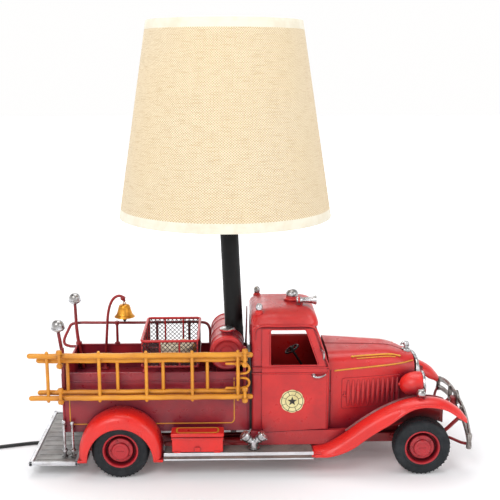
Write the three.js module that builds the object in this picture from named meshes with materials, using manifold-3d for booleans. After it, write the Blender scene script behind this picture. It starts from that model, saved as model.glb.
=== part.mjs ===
// Table lamp whose base is a model of a 1930s fire engine. Millimetres, +Z up, +X the way the
// engine faces, +Y its left side. The origin is on the table, under the middle of the lamp
// without its cord.
import * as THREE from 'three';
import { mergeVertices } from 'three/addons/utils/BufferGeometryUtils.js';
import Module from 'manifold-3d';

const wasm = await Module();
wasm.setup();

// ---- driving dimensions ------------------------------------------------------------------
const GAP = 0.3;                       // clearance between neighbouring pieces
const WHEEL_RADIUS = 27.5;
const WHEEL_WIDTH = 17;
const WHEEL_Y = 61.5;                  // middle of a wheel from the centre plane
const RIM_RADIUS = 18.3;
const WHEEL_SIDES = 28;
const AXLE_FRONT_X = 163.5;
const AXLE_REAR_X = -125;
const AXLE_RADIUS = 2;
const AXLE_Z = WHEEL_RADIUS * Math.cos(Math.PI / WHEEL_SIDES);
const RAIL_TOP = 25;                   // top of the chassis rails

const STEP_BACK = -213;                // rear edge of the tailboard step
const STEP_FRONT = -166;
const BUMPER_FRONT = 211.5;
const BED_BACK = -182;                 // hose bed
const BED_FRONT = -1.6;
const BED_HALF = 47;
const BED_BOTTOM = 38;
const BED_TOP = 98;
const BED_FLOOR = 72;
const SHEET = 1.5;                     // tinplate thickness, with its folds

const CAB_BACK = 0.5;
const CAB_FRONT = 75;
const CAB_HALF = 50;
const ROOF_TOP = 158.5;
const BELT_Z = 102;
const HOOD_BACK = 75.4;
const HOOD_FRONT = 163;

const BOARD_BACK = -84;                // running boards
const BOARD_FRONT = 58.5;
const BOARD_TOP = 25.5;

const POLE_RADIUS = 9;
const POLE_X = -13.3;                  // where the pole meets the bed floor
const POLE_LEAN = -3.0 * Math.PI / 180;
const POLE_LENGTH = 178;
const LAMP_X = -23;                    // axis of socket, bulb and shade
const SHADE_BOTTOM = 243.5;
const SHADE_TOP = 429.5;
const SHADE_BOTTOM_RADIUS = 101.6;     // 8 inch shade
const SHADE_TOP_RADIUS = 76.2;         // 6 inch top
const SHADE_WALL = 1.2;

const TANK_X = -23;
const TANK_Z = 114.9;
const TANK_RADIUS = 16.7;
const TANK_HALF = 43;

const BELL_X = -129.8;
const BELL_Y = 38;
const BELL_PIVOT_Z = 143.6;
const BELL_RIM_RADIUS = 10.4;

const CORD_RADIUS = 1.8;
const CORD_Z = CORD_RADIUS + 0.1;      // its middle where it lies on the table
const COIL = { x: -303, y: 22, inner: 14.6, outer: 27.4, height: 17 };

// ---- solids ------------------------------------------------------------------------------
// A closed geometry as a manifold, its faces turned outwards.
function solid(geometry) {
  const bare = geometry.clone();
  bare.deleteAttribute('normal');
  bare.deleteAttribute('uv');
  const merged = mergeVertices(bare, 1e-3);
  const points = merged.attributes.position.array;
  const faces = Uint32Array.from(merged.index.array);
  const corner = (i) => new THREE.Vector3().fromArray(points, 3 * faces[i]);
  let volume = 0;
  for (let i = 0; i < faces.length; i += 3) {
    volume += corner(i).dot(corner(i + 1).cross(corner(i + 2)));
  }
  if (volume < 0) {
    for (let i = 0; i < faces.length; i += 3) {
      [faces[i + 1], faces[i + 2]] = [faces[i + 2], faces[i + 1]];
    }
  }
  const mesh = new wasm.Mesh({ numProp: 3, vertProperties: Float32Array.from(points), triVerts: faces });
  return new wasm.Manifold(mesh);
}

function geometryOf(manifold) {
  const mesh = manifold.getMesh();
  const geometry = new THREE.BufferGeometry();
  geometry.setAttribute('position', new THREE.BufferAttribute(Float32Array.from(mesh.vertProperties), 3));
  geometry.setIndex(Array.from(mesh.triVerts));
  geometry.computeVertexNormals();
  return geometry;
}

function union(...geometries) {
  return geometryOf(geometries.map(solid).reduce((sum, next) => sum.add(next)));
}

function cut(geometry, ...cutters) {
  return geometryOf(cutters.map(solid).reduce((rest, next) => rest.subtract(next), solid(geometry)));
}

function common(...geometries) {
  return geometryOf(geometries.map(solid).reduce((rest, next) => rest.intersect(next)));
}

// A box between two corners.
function box(x0, x1, y0, y1, z0, z1) {
  const geometry = new THREE.BoxGeometry(x1 - x0, y1 - y0, z1 - z0);
  return geometry.translate((x0 + x1) / 2, (y0 + y1) / 2, (z0 + z1) / 2);
}

// A straight rod between two points.
function rod(from, to, radius, sides = 10) {
  const start = new THREE.Vector3(...from);
  const end = new THREE.Vector3(...to);
  const along = end.clone().sub(start);
  const geometry = new THREE.CylinderGeometry(radius, radius, along.length(), sides);
  const turn = new THREE.Quaternion().setFromUnitVectors(new THREE.Vector3(0, 1, 0), along.normalize());
  return geometry.applyQuaternion(turn).translate(...start.add(end).multiplyScalar(0.5).toArray());
}

// A round section carried along a smooth curve through points.
function bentRod(points, radius, steps, sides = 8, closed = false) {
  const circle = new THREE.Shape();
  for (let i = 0; i < sides; i += 1) {
    const angle = 2 * Math.PI * (i + 0.5) / sides;
    const place = [radius * Math.cos(angle), radius * Math.sin(angle)];
    if (i === 0) circle.moveTo(...place);
    else circle.lineTo(...place);
  }
  circle.closePath();
  const path = new THREE.CatmullRomCurve3(points.map((p) => new THREE.Vector3(...p)), closed, 'centripetal');
  return new THREE.ExtrudeGeometry(circle, { steps, bevelEnabled: false, extrudePath: path });
}

// A profile of [radius, height] pairs turned about the Z axis, or about another axis of the part.
function turned(profile, sides, axis = 'z', phase = 0) {
  const geometry = new THREE.LatheGeometry(profile.map(([r, h]) => new THREE.Vector2(r, h)), sides, phase);
  if (axis === 'z') geometry.rotateX(Math.PI / 2);
  if (axis === 'x') geometry.rotateZ(-Math.PI / 2);
  return geometry;
}

// A ring of round wire about the Z axis.
function wireRing(radius, wire, sides = 40, wireSides = 5) {
  return new THREE.TorusGeometry(radius, wire, wireSides, sides);
}

function outline(points) {
  return new THREE.Shape(points.map(([u, v]) => new THREE.Vector2(u, v)));
}

// A flat outline pulled out between two places along one axis: [x, z] pairs along Y,
// [y, z] pairs along X and [x, y] pairs along Z.
function alongY(points, y0, y1) {
  const geometry = new THREE.ExtrudeGeometry(outline(points), { depth: y1 - y0, bevelEnabled: false });
  return geometry.rotateX(Math.PI / 2).translate(0, y1, 0);
}

function alongX(points, x0, x1) {
  const geometry = new THREE.ExtrudeGeometry(outline(points), { depth: x1 - x0, bevelEnabled: false });
  const turn = new THREE.Matrix4().set(0, 0, 1, x0, 1, 0, 0, 0, 0, 1, 0, 0, 0, 0, 0, 1);
  return geometry.applyMatrix4(turn);
}

function alongZ(points, z0, z1) {
  const geometry = new THREE.ExtrudeGeometry(outline(points), { depth: z1 - z0, bevelEnabled: false });
  return geometry.translate(0, 0, z0);
}

// Points of an arc about a centre, angles in degrees.
function arc(cx, cy, rx, ry, from, to, steps) {
  return Array.from({ length: steps + 1 }, (_, i) => {
    const angle = (from + (to - from) * i / steps) * Math.PI / 180;
    return [cx + rx * Math.cos(angle), cy + ry * Math.sin(angle)];
  });
}

// A rectangle with round corners.
function roundedRectangle(u0, u1, v0, v1, radius, steps = 4) {
  return [
    ...arc(u1 - radius, v0 + radius, radius, radius, -90, 0, steps),
    ...arc(u1 - radius, v1 - radius, radius, radius, 0, 90, steps),
    ...arc(u0 + radius, v1 - radius, radius, radius, 90, 180, steps),
    ...arc(u0 + radius, v0 + radius, radius, radius, 180, 270, steps),
  ];
}

// The piece on the other side of the centre plane.
function mirrored(geometry) {
  return geometryOf(solid(geometry.clone().scale(1, -1, 1)));
}

// ---- materials and the assembly ------------------------------------------------------------
const FINISH = {
  red: { color: 0xb3151a, roughness: 0.35, metalness: 0.0 },
  darkRed: { color: 0x6e1218, roughness: 0.4, metalness: 0.0 },
  yellow: { color: 0xd9922a, roughness: 0.5, metalness: 0.0 },
  tin: { color: 0xa8a6a0, roughness: 0.5, metalness: 0.8 },
  chrome: { color: 0xd0d0d0, roughness: 0.15, metalness: 1.0 },
  brass: { color: 0xc08a30, roughness: 0.3, metalness: 1.0 },
  black: { color: 0x121212, roughness: 0.45, metalness: 0.0 },
  rubber: { color: 0x1a2024, roughness: 0.7, metalness: 0.0 },
  shade: { color: 0xe6d2a4, roughness: 0.9, metalness: 0.0 },
  canvas: { color: 0xcbb894, roughness: 0.95, metalness: 0.0 },
  glass: { color: 0xf4f2ea, roughness: 0.2, metalness: 0.0 },
};

const lamp = new THREE.Group();

function addPiece(name, geometry, finish, parent = lamp) {
  const outward = geometryOf(solid(geometry));
  const mesh = new THREE.Mesh(outward, new THREE.MeshStandardMaterial(FINISH[finish]));
  mesh.name = name;
  parent.add(mesh);
  return mesh;
}

// ---- wheels and axles ----------------------------------------------------------------------
const half = WHEEL_WIDTH / 2;
const tyreProfile = [
  [RIM_RADIUS + GAP, -6.8], [RIM_RADIUS + GAP, 6.8], [20.5, 8.2], [24, half], [26.6, 7.2], [WHEEL_RADIUS, 5.2],
  [WHEEL_RADIUS, -5.2], [26.6, -7.2], [24, -half], [20.5, -8.2], [RIM_RADIUS + GAP, -6.8],
];
const rimProfile = [
  [0, 7.6], [3.6, 7.6], [6.4, 6.6], [7.2, 4.6], [11, 3.8], [12.2, 1.2], [15.6, 0.4], [16.6, 6.4],
  [RIM_RADIUS, 6.8], [RIM_RADIUS, -6.8], [16.6, -6.8], [15.6, -1.6], [5, -1.8], [5, -5.5],
  [AXLE_RADIUS + GAP, -5.5], [AXLE_RADIUS + GAP, 3.6], [0, 3.6],
];
for (const [end, axleX] of [['front', AXLE_FRONT_X], ['rear', AXLE_REAR_X]]) {
  for (const [side, sign] of [['right', -1], ['left', 1]]) {
    const hub = new THREE.Group();
    hub.position.set(axleX, sign * WHEEL_Y, AXLE_Z);
    if (sign < 0) hub.rotation.z = Math.PI;
    lamp.add(hub);
    addPiece(`tyre_${end}_${side}`, turned(tyreProfile, WHEEL_SIDES, 'y', Math.PI / WHEEL_SIDES), 'rubber', hub);
    addPiece(`rim_${end}_${side}`, turned(rimProfile, 16, 'y'), 'red', hub);
  }
  const reach = WHEEL_Y + 3;
  addPiece(`${end}_axle`, rod([axleX, -reach, AXLE_Z], [axleX, reach, AXLE_Z], AXLE_RADIUS, 16), 'black');
}

// ---- chassis, with the engine block, the cab floor and the mounts of the hose bed ------------
const chassisParts = [
  box(-168, 186, -26, -20, 15.5, RAIL_TOP),
  box(-168, 186, 20, 26, 15.5, RAIL_TOP),
  box(12, 72, -46, 46, 30, BED_BOTTOM - GAP),
  box(95, 150, -20, 20, 20, 66),
  box(20, 30, -20, 20, 20, 32),
  box(-150, -138, -22, 22, RAIL_TOP - 3, BED_FLOOR - SHEET - GAP),
  box(-70, -58, -22, 22, RAIL_TOP - 3, BED_FLOOR - SHEET - GAP),
  box(-166, -160, -22, 22, 16, RAIL_TOP),
];
for (const memberX of [-70, -20, 45]) {
  chassisParts.push(box(memberX, memberX + 6, -56, 56, 15.5, 17.5 - GAP));
}
for (const sign of [-1, 1]) {
  chassisParts.push(box(58, 62, sign * 23 - 3, sign * 23 + 3, RAIL_TOP - 1, 31));
}
addPiece('chassis', union(...chassisParts), 'darkRed');

// ---- running boards, tailboard step, fenders -------------------------------------------------
function runningBoard() {
  const deck = box(BOARD_BACK, BOARD_FRONT, -70, -51, 17.5, BOARD_TOP);
  const hollow = box(BOARD_BACK + 2, BOARD_FRONT - 2, -68.5, -50, 16, BOARD_TOP - 2);
  return cut(deck, hollow);
}

// A pontoon over the wheel: a half round shell with a round arch in its outer face.
function rearFender() {
  const wheelX = AXLE_REAR_X;
  const shell = alongY([...arc(wheelX, 25, 39, 41, 0, 180, 28), [wheelX - 39, 19], [wheelX + 39, 19]], -73, -47.4);
  const well = alongY([...arc(wheelX, 25, 37.2, 39.2, 0, 180, 28), [wheelX - 37.2, 10], [wheelX + 37.2, 10]],
    -71.8, -40);
  const arch = alongY([...arc(wheelX, 18, 32, 33.5, 0, 180, 24), [wheelX - 32, 10], [wheelX + 32, 10]], -74, -70);
  return cut(shell, well, arch);
}

// A long sweep from the running board over the front wheel, with a skirt along its outer edge.
const fenderCrown = new THREE.SplineCurve([
  [BOARD_FRONT + 0.5, 24.5], [72, 27], [88, 36], [106, 49.5], [126, 62], [146, 70.5], [165, 74], [184, 71.5],
  [198, 63.5], [207, 53],
].map(([x, z]) => new THREE.Vector2(x, z)));
function crownBand(depth, steps = 26) {
  const upper = fenderCrown.getPoints(steps).map((p) => [p.x, p.y]);
  const lower = fenderCrown.getPoints(steps).map((p, i) => {
    const slope = fenderCrown.getTangent(i / steps);
    return [Math.max(p.x + slope.y * depth, BOARD_FRONT + 0.5), p.y - slope.x * depth];
  });
  return [...upper, ...lower.reverse()];
}
function frontFender() {
  return union(alongY(crownBand(SHEET), -69.5, -46.5), alongY(crownBand(8.5), -70.5, -69));
}
for (const [side, place] of [['right', (g) => g], ['left', mirrored]]) {
  addPiece(`running_board_${side}`, place(runningBoard()), 'tin');
  addPiece(`rear_fender_${side}`, place(rearFender()), 'red');
  addPiece(`front_fender_${side}`, place(frontFender()), 'red');
}
const stepPlate = alongZ(roundedRectangle(STEP_BACK, STEP_FRONT, -66, 66, 4), 11.5, 15.2);
addPiece('rear_step', cut(stepPlate, box(STEP_BACK + 4, STEP_FRONT - 2, -62, 62, 14.2, 16)), 'tin');

// ---- hose bed, an open box with its floor halfway up ------------------------------------------
const bedOutline = roundedRectangle(BED_BACK, BED_FRONT, -BED_HALF, BED_HALF, 3, 2);
const bedHollow = roundedRectangle(BED_BACK + SHEET, BED_FRONT - SHEET, SHEET - BED_HALF, BED_HALF - SHEET, 2, 2);
addPiece('hose_body', cut(
  alongZ(bedOutline, BED_BOTTOM, BED_TOP),
  alongZ(bedHollow, BED_FLOOR, BED_TOP + 1),
  alongZ(bedHollow, BED_BOTTOM - 1, BED_FLOOR - SHEET),
  rod([POLE_X, 0, BED_FLOOR - 5], [POLE_X, 0, BED_FLOOR + 5], POLE_RADIUS - 2.6, 20),
), 'darkRed');

// ---- cab: a hollow shell with side windows, a windscreen and a rear window ----------------------
function cabSide(inset) {
  return [
    [CAB_BACK + inset, BED_BOTTOM + (inset ? -2 : 0)], [CAB_FRONT - inset, BED_BOTTOM + (inset ? -2 : 0)],
    [CAB_FRONT - inset, BELT_Z - inset], [60 - 1.2 * inset, 144],
    ...arc(49, 148, 9 - inset, ROOF_TOP - 148 - inset, 10, 90, 4),
    ...arc(12, 149, 11.5 - inset, ROOF_TOP - 149 - inset, 90, 180, 5),
  ];
}
function cabFront(inset) {
  const bottom = BED_BOTTOM + (inset ? -2 : 0);
  return [
    [-CAB_HALF + inset, bottom], [CAB_HALF - inset, bottom], [CAB_HALF - inset, BELT_Z],
    ...arc(20, 138, 28 - inset, ROOF_TOP - 138 - inset, 8, 90, 7),
    ...arc(-20, 138, 28 - inset, ROOF_TOP - 138 - inset, 90, 172, 7),
    [-CAB_HALF + inset, BELT_Z],
  ];
}
function cabMass(inset) {
  return common(alongY(cabSide(inset), -60, 60), alongX(cabFront(inset), -10, 90));
}
const sideWindow = [[18, 109], [63, 109], [51, 139], [18, 139]];
const windscreen = roundedRectangle(-38, 38, 108, 140, 4, 2);
const rearWindow = roundedRectangle(-22, 22, 116, 136, 6, 3);
const cabShell = cut(
  cabMass(0),
  cabMass(2),
  alongY(sideWindow, -60, 60),
  alongX(windscreen, 40, 90),
  alongX(rearWindow, -5, 12),
);
const markers = [-34, 34].map((y) => rod([8, y, 153.2], [8, y, 159.5], 2.6, 12));
addPiece('cab', union(cabShell, ...markers), 'red');
addPiece('seat', union(box(8, 34, -40, 40, BED_BOTTOM + GAP, 60), box(5, 12, -40, 40, 50, 90)), 'black');
const steering = union(
  wireRing(11, 1.2, 20, 6).rotateY(-0.9).translate(44, 22, 98),
  rod([44.5, 22, 97.6], [70, 22, 77.4], 1.2, 8),
  rod([44, 12, 98], [44, 32, 98], 1, 6),
);
addPiece('steering_wheel', steering, 'black');

// ---- hood, radiator, headlights, bumper ---------------------------------------------------------
const hoodFront = [
  [-41, BED_BOTTOM], [41, BED_BOTTOM], [41, 96], ...arc(20, 96, 21, 16.5, 10, 90, 6),
  ...arc(-20, 96, 21, 16.5, 90, 170, 6), [-41, 96],
];
const hoodSide = [
  [HOOD_BACK, BED_BOTTOM], [HOOD_FRONT, BED_BOTTOM], [HOOD_FRONT, 101], [145, 109.5], [120, 111.8],
  [HOOD_BACK, 112.5],
];
const hoodPlan = [[HOOD_BACK, -41], [HOOD_FRONT, -25], [HOOD_FRONT, 25], [HOOD_BACK, 41]];
function hoodMass(inset) {
  const shrink = (points, u, v, low) => points.map(([a, b]) => [
    u + (a - u) * (1 - inset / 40), b === low ? b - inset : v + (b - v) * (1 - inset / 40),
  ]);
  return common(
    alongX(shrink(hoodFront, 0, 80, BED_BOTTOM), 70, 170),
    alongY(shrink(hoodSide, 119, 80, BED_BOTTOM), -60, 60),
    alongZ(shrink(hoodPlan, 119, 0, -999), 30, 130),
  );
}
addPiece('hood', cut(hoodMass(0), hoodMass(2)), 'red');

const radiatorOutline = [...arc(0, 84, 25, 20, 0, 180, 12), [-22, 42], [22, 42]];
const radiatorCore = [...arc(0, 83, 21.5, 16.5, 0, 180, 12), [-18.5, 46], [18.5, 46]];
const radiatorShell = cut(alongX(radiatorOutline, HOOD_FRONT + GAP, 169), alongX(radiatorCore, 167, 172));
const capOrnament = turned([[0, 0], [2.6, 0], [2.2, 2.5], [3.4, 3.6], [0, 6.4]], 12).translate(166, 0, 103.2);
addPiece('radiator', union(radiatorShell, capOrnament), 'chrome');

function headlight() {
  const bucket = turned([[0, -13], [3, -12.4], [6.8, -9.6], [9.4, -4.8], [10.2, 0], [10.8, 0.4], [10.8, 2],
    [7.5, 3.6], [0, 4.6]], 20, 'x').translate(164, -36, 80.6);
  const stalk = rod([160, -48.3, 77.3], [160, -41, 79], 1.4, 8);
  return union(bucket, stalk);
}
for (const [side, place] of [['right', (g) => g], ['left', mirrored]]) {
  addPiece(`headlight_${side}`, place(headlight()), 'red');
}

// Two bars bowed forward and drooping at their ends, joined by a badge, links and end clips, on two arms.
const BUMPER_BAR_RADIUS = 2.4;
function bumperBar(end, quarter, middle) {
  const half = [end, quarter[0], quarter[1]];
  const other = half.map(([x, y, z]) => [x, -y, z]).reverse();
  return bentRod([...half, middle, ...other], BUMPER_BAR_RADIUS, 28, 8);
}
const bumperParts = [
  bumperBar([203.4, -66, 33], [[207.5, -50, 39.5], [210, -28, 46.5]], [210, 0, 50]),
  bumperBar([203, -66, 29.5], [[206.5, -50, 31], [209, -28, 34]], [209.3, 0, 36.5]),
  rod([BUMPER_FRONT - 2.2, 0, 49], [BUMPER_FRONT + 1.5, 0, 49], 8.5, 20),
  box(BUMPER_FRONT - 3.5, BUMPER_FRONT - 1, -4, 4, 35, 50),
];
for (const sign of [-1, 1]) {
  bumperParts.push(box(201.5, 205.5, sign * 64 - 2, sign * 64 + 2, 28, 35.5));
  bumperParts.push(box(207.8, 210.6, sign * 24 - 2, sign * 24 + 2, 34, 48));
  bumperParts.push(rod([188.6, sign * 23, 22], [208.4, sign * 24, 35], 2.2, 8));
}
addPiece('front_bumper', union(...bumperParts), 'chrome');

// ---- roof beacon and siren ----------------------------------------------------------------------
addPiece('roof_beacon', turned([[0, 0], [8.5, 0], [8, 2], [6.2, 3], [5.9, 5], [5.4, 7.4], [3.6, 9.4], [0, 10.2]], 20)
  .translate(42, 0, ROOF_TOP + GAP), 'chrome');
const sirenBody = turned([[0, -9], [4, -8.6], [4.6, -6], [3.2, -3], [4.2, 4], [5.8, 11], [5, 11], [3, 6], [0, 5]],
  16, 'x').translate(61, 0, 164.3);
addPiece('siren', union(sirenBody, rod([56, 0, ROOF_TOP - 0.2], [56, 0, 162], 1.8, 8)), 'chrome');

// ---- ladders: a wide one with a narrow one behind it, in two clips -------------------------------
function ladder(x0, x1, y, low, high, rungs, railRadius) {
  const rails = [low, high].map((z) => rod([x0, y, z], [x1, y, z], railRadius, 7));
  return union(...rails, ...rungs.map((x) => rod([x, y, low - 2], [x, y, high + 3.4], 1.5, 5)));
}
const OUTER_LADDER = {
  x0: -208, x1: -1, y: -61.6, low: 78.4, high: 120,
  rungs: [-192, -143.6, -99.4, -56.2, -13],
};
const INNER_LADDER = {
  x0: -201, x1: -6, y: -55.2, low: 81.6, high: 113.4,
  rungs: [-174.2, -127.2, -84.1, -42.1],
};
for (const [name, l] of [['ladder_outer', OUTER_LADDER], ['ladder_inner', INNER_LADDER]]) {
  addPiece(name, ladder(l.x0, l.x1, l.y, l.low, l.high, l.rungs, 2.6), 'yellow');
}
function ladderRack(x) {
  const bar = box(x, x + 3, -50.2, -47.3, 72.2, 125);
  const arms = [box(x, x + 3, -67, -48, 107.9, 110.4), box(x, x + 3, -67, -48, 72.2, 75.4)];
  const lips = [box(x, x + 3, -67, -64.6, 107.9, 125), box(x, x + 3, -67, -64.6, 72.2, 88)];
  return union(bar, ...arms, ...lips);
}
addPiece('ladder_rack_rear', ladderRack(-181), 'yellow');
addPiece('ladder_rack_front', ladderRack(-8), 'yellow');

// ---- bell on its gooseneck --------------------------------------------------------------------------
const gooseneck = bentRod([[-152, 41, BED_FLOOR + GAP], [-150, 41, 100], [-148, 40, 128], [-144, 39, 143],
  [-137, BELL_Y, 151.5], [-131.5, BELL_Y, 151], [BELL_X + 0.6, BELL_Y, 147]], 1.4, 26);
const knob = rod([BELL_X - 2.6, BELL_Y, 151.2], [BELL_X + 0.4, BELL_Y, 146], 2.3, 8);
addPiece('bell_post', union(gooseneck, knob), 'red');
const bellProfile = [
  [0, 0], [5, -0.6], [6.2, -2.2], [7.2, -7], [8.4, -11], [BELL_RIM_RADIUS, -14.2], [BELL_RIM_RADIUS - 0.8, -14.4],
  [7.4, -10.8], [6.2, -7], [5.2, -2.8], [4, -1.7], [0, -1.5],
];
const bellCup = turned(bellProfile, 20).translate(BELL_X, BELL_Y, BELL_PIVOT_Z - 1);
const bellLoop = rod([BELL_X, BELL_Y, 141.8], [BELL_X, BELL_Y, BELL_PIVOT_Z + 0.7], 0.9, 8);
addPiece('bell', union(bellCup, bellLoop), 'brass');
const clapperBall = new THREE.SphereGeometry(1.9, 10, 8).translate(BELL_X, BELL_Y, 126.4);
const clapperWire = rod([BELL_X, BELL_Y, 140.6], [BELL_X, BELL_Y, 126.4], 0.7, 6);
addPiece('clapper', union(clapperWire, clapperBall), 'brass');

// ---- basket on two cross bars, with the rolled hose inside -------------------------------------------
const basketWall = cut(
  alongZ(roundedRectangle(-106, -50.5, -41, 41, 3, 2), 100.2, 127.5),
  alongZ(roundedRectangle(-104.6, -51.9, -39.6, 39.6, 2, 2), 101.6, 130),
);
const basketBars = [-104, -58.5].map((x) => box(x, x + 2.5, -BED_HALF, BED_HALF, BED_TOP + GAP, 100.6));
addPiece('basket', union(basketWall, ...basketBars), 'red');
addPiece('hose_roll', turned([[5, 102], [24, 102], [25, 104], [25, 118], [24, 120], [5, 120], [5, 102]], 28)
  .translate(-78, 0, 0), 'canvas');

// ---- handrail on the left side -----------------------------------------------------------------------
const handrailY = BED_HALF - 0.5;
const rail = bentRod([
  [-183, handrailY, 95], [-190, handrailY, 95.2], [-195.5, handrailY, 99], [-192.5, handrailY, 111],
  [-189, handrailY, 118.5], [-182, handrailY, 120.6], [-140, handrailY, 120.6], [-90, handrailY, 120.6],
  [-50, handrailY, 120.6], [-43, handrailY, 118.5],
  [-41, handrailY, 111], [-41, handrailY, BED_TOP + GAP],
], 1.5, 48, 6);
const RAIL_POSTS = [-139, -97, -63];
const railPosts = RAIL_POSTS.map((x) => rod([x, handrailY, BED_TOP + GAP], [x, handrailY, 120.6], 1.4, 8));
addPiece('handrail', union(rail, ...railPosts), 'darkRed');

// ---- rear spotlights on leaning posts ------------------------------------------------------------------
function spotlight() {
  const post = rod([-175, -40.4, BED_FLOOR + GAP], [-184, -42.2, 138], 1.7, 8);
  const dome = turned([[0, 0], [5, 0], [5.9, 1.5], [5.9, 6], [5.2, 9], [3.2, 11.4], [0, 12.2]], 16)
    .translate(-184, -42.2, 137.4);
  return union(post, dome);
}
for (const [side, place] of [['right', (g) => g], ['left', mirrored]]) {
  addPiece(`spotlight_${side}`, place(spotlight()), 'chrome');
}

// ---- water tank across the truck, bored for the pole ------------------------------------------------------
const tankProfile = [
  [0, -TANK_HALF + 3], [12.5, -TANK_HALF + 3], [13.5, -TANK_HALF], [TANK_RADIUS, -TANK_HALF],
  [TANK_RADIUS, TANK_HALF], [13.5, TANK_HALF], [12.5, TANK_HALF - 3], [0, TANK_HALF - 3],
];
const drum = turned(tankProfile, 28, 'y').translate(TANK_X, 0, TANK_Z);
const filler = turned([[0, -2], [5.4, -2], [5.4, 1.6], [6.7, 1.6], [6.7, 4], [0, 4.8]], 16)
  .translate(TANK_X, -27, TANK_Z + TANK_RADIUS);
const saddles = [-34, 31].map((y) => box(TANK_X - 11, TANK_X + 9, y, y + 3, BED_FLOOR + GAP, TANK_Z - 10));
const poleBore = new THREE.CylinderGeometry(POLE_RADIUS + 0.5, POLE_RADIUS + 0.5, 90, 24)
  .rotateX(Math.PI / 2)
  .translate(0, 0, 45)
  .rotateY(POLE_LEAN)
  .translate(POLE_X, 0, BED_FLOOR + 5);
addPiece('tank', cut(union(drum, filler, ...saddles), poleBore), 'red');

// ---- toolbox and the twin hose inlet on the right running board ---------------------------------------------
addPiece('toolbox', union(
  box(-76, -27.5, -70, -54, BOARD_TOP + GAP, 42),
  box(-77, -26.5, -71, -53.4, 41, 45),
), 'red');
const inletParts = [
  rod([2, -61, BOARD_TOP + GAP], [2, -61, 33], 4.2, 12),
  rod([2, -61, 31], [-5.5, -63, 38], 3.4, 12),
  rod([2, -61, 31], [9.5, -63, 38], 3.4, 12),
  rod([-3.6, -62.6, 36.4], [-8.2, -63.6, 41], 4.6, 12),
  rod([7.6, -62.6, 36.4], [12.2, -63.6, 41], 4.6, 12),
];
addPiece('hose_inlet', union(...inletParts), 'chrome');

// ---- the lamp itself: a leaning pole with its upright socket, bulb, harp and shade ---------------------------
const leaning = new THREE.Group();
leaning.position.set(POLE_X, 0, BED_FLOOR);
leaning.rotation.y = POLE_LEAN;
lamp.add(leaning);
const poleProfile = [
  [3.2, -14], [4.7, -14], [4.7, 1.2], [POLE_RADIUS, 1.2], [POLE_RADIUS, POLE_LENGTH - 1],
  [POLE_RADIUS - 1, POLE_LENGTH], [3.2, POLE_LENGTH], [3.2, -14],
];
addPiece('lamp_pole', turned(poleProfile, 24), 'black', leaning);
const nutProfile = [[5.8, -9], [9.6, -9], [9.6, -2.5], [5.8, -2.5], [5.8, -9]];
addPiece('pole_nut', turned(nutProfile, 6), 'brass', leaning);

const upper = new THREE.Group();
upper.position.set(LAMP_X, 0, BED_FLOOR + POLE_LENGTH + 0.9);
lamp.add(upper);
addPiece('socket_cap', turned([[0, 0], [8, 0], [12, 5], [15.5, 12], [15.5, 14], [6, 14], [6, 18], [0, 18]], 24),
  'brass', upper);
const saddle = turned([[6 + GAP, 14.4], [19, 14.4], [19, 16.2], [6 + GAP, 16.2], [6 + GAP, 14.4]], 20);
const bow = [[0, -17.5, 15.5], [0, -30, 17], [0, -40, 34], [0, -42, 70], [0, -38, 112], [0, -24, 145], [0, 0, 158],
  [0, 24, 145], [0, 38, 112], [0, 42, 70], [0, 40, 34], [0, 30, 17], [0, 17.5, 15.5]];
const stud = rod([0, 0, 157], [0, 0, 168], 2.6, 12);
addPiece('harp', union(saddle, bentRod(bow, 1.5, 44, 6), stud), 'brass', upper);
const shellProfile = [[0, 18.4], [16, 18.4], [16.6, 22], [16.6, 58], [14.4, 58], [14.4, 24], [0, 24]];
const knobHole = rod([10, 0, 34], [20, 0, 34], 2.2, 12);
addPiece('socket_shell', cut(turned(shellProfile, 24), knobHole), 'brass', upper);
const turnKey = union(rod([15, 0, 34], [26, 0, 34], 1.7, 10), rod([24, 0, 34], [31, 0, 34], 5.2, 12));
addPiece('switch_knob', turnKey, 'black', upper);
const bulbProfile = [[0, 24.6], [9, 25], [13, 27], [13, 59], [16, 65], [26, 82], [30, 100], [26, 116], [15, 126],
  [0, 130]];
addPiece('bulb', turned(bulbProfile, 24), 'glass', upper);
const finialProfile = [[2.6 + GAP, 162], [6, 162], [6.6, 165], [4, 168], [4.4, 171], [0, 173.6], [0, 170], [2.9, 170],
  [2.6 + GAP, 162]];
addPiece('finial', turned(finialProfile, 16), 'brass', upper);

// The shade, its spider with the top ring, and its bottom ring.
const lift = upper.position.z;
function shadeRadius(z) {
  const share = (z - SHADE_BOTTOM) / (SHADE_TOP - SHADE_BOTTOM);
  return SHADE_BOTTOM_RADIUS + (SHADE_TOP_RADIUS - SHADE_BOTTOM_RADIUS) * share;
}
const shadeProfile = [
  [SHADE_BOTTOM_RADIUS, SHADE_BOTTOM], [SHADE_TOP_RADIUS, SHADE_TOP], [SHADE_TOP_RADIUS - SHADE_WALL, SHADE_TOP],
  [SHADE_BOTTOM_RADIUS - SHADE_WALL, SHADE_BOTTOM], [SHADE_BOTTOM_RADIUS, SHADE_BOTTOM],
].map(([r, z]) => [r, z - lift]);
addPiece('shade', turned(shadeProfile, 72), 'shade', upper);
const ringInset = SHADE_WALL + 2;
const topRingZ = SHADE_TOP - 2.5;
const spiderParts = [
  wireRing(shadeRadius(topRingZ) - ringInset, 1.3).translate(0, 0, topRingZ - lift),
  turned([[2.6 + GAP, 159.9], [8, 159.9], [8, 161.6], [2.6 + GAP, 161.6], [2.6 + GAP, 159.9]], 20),
];
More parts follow.
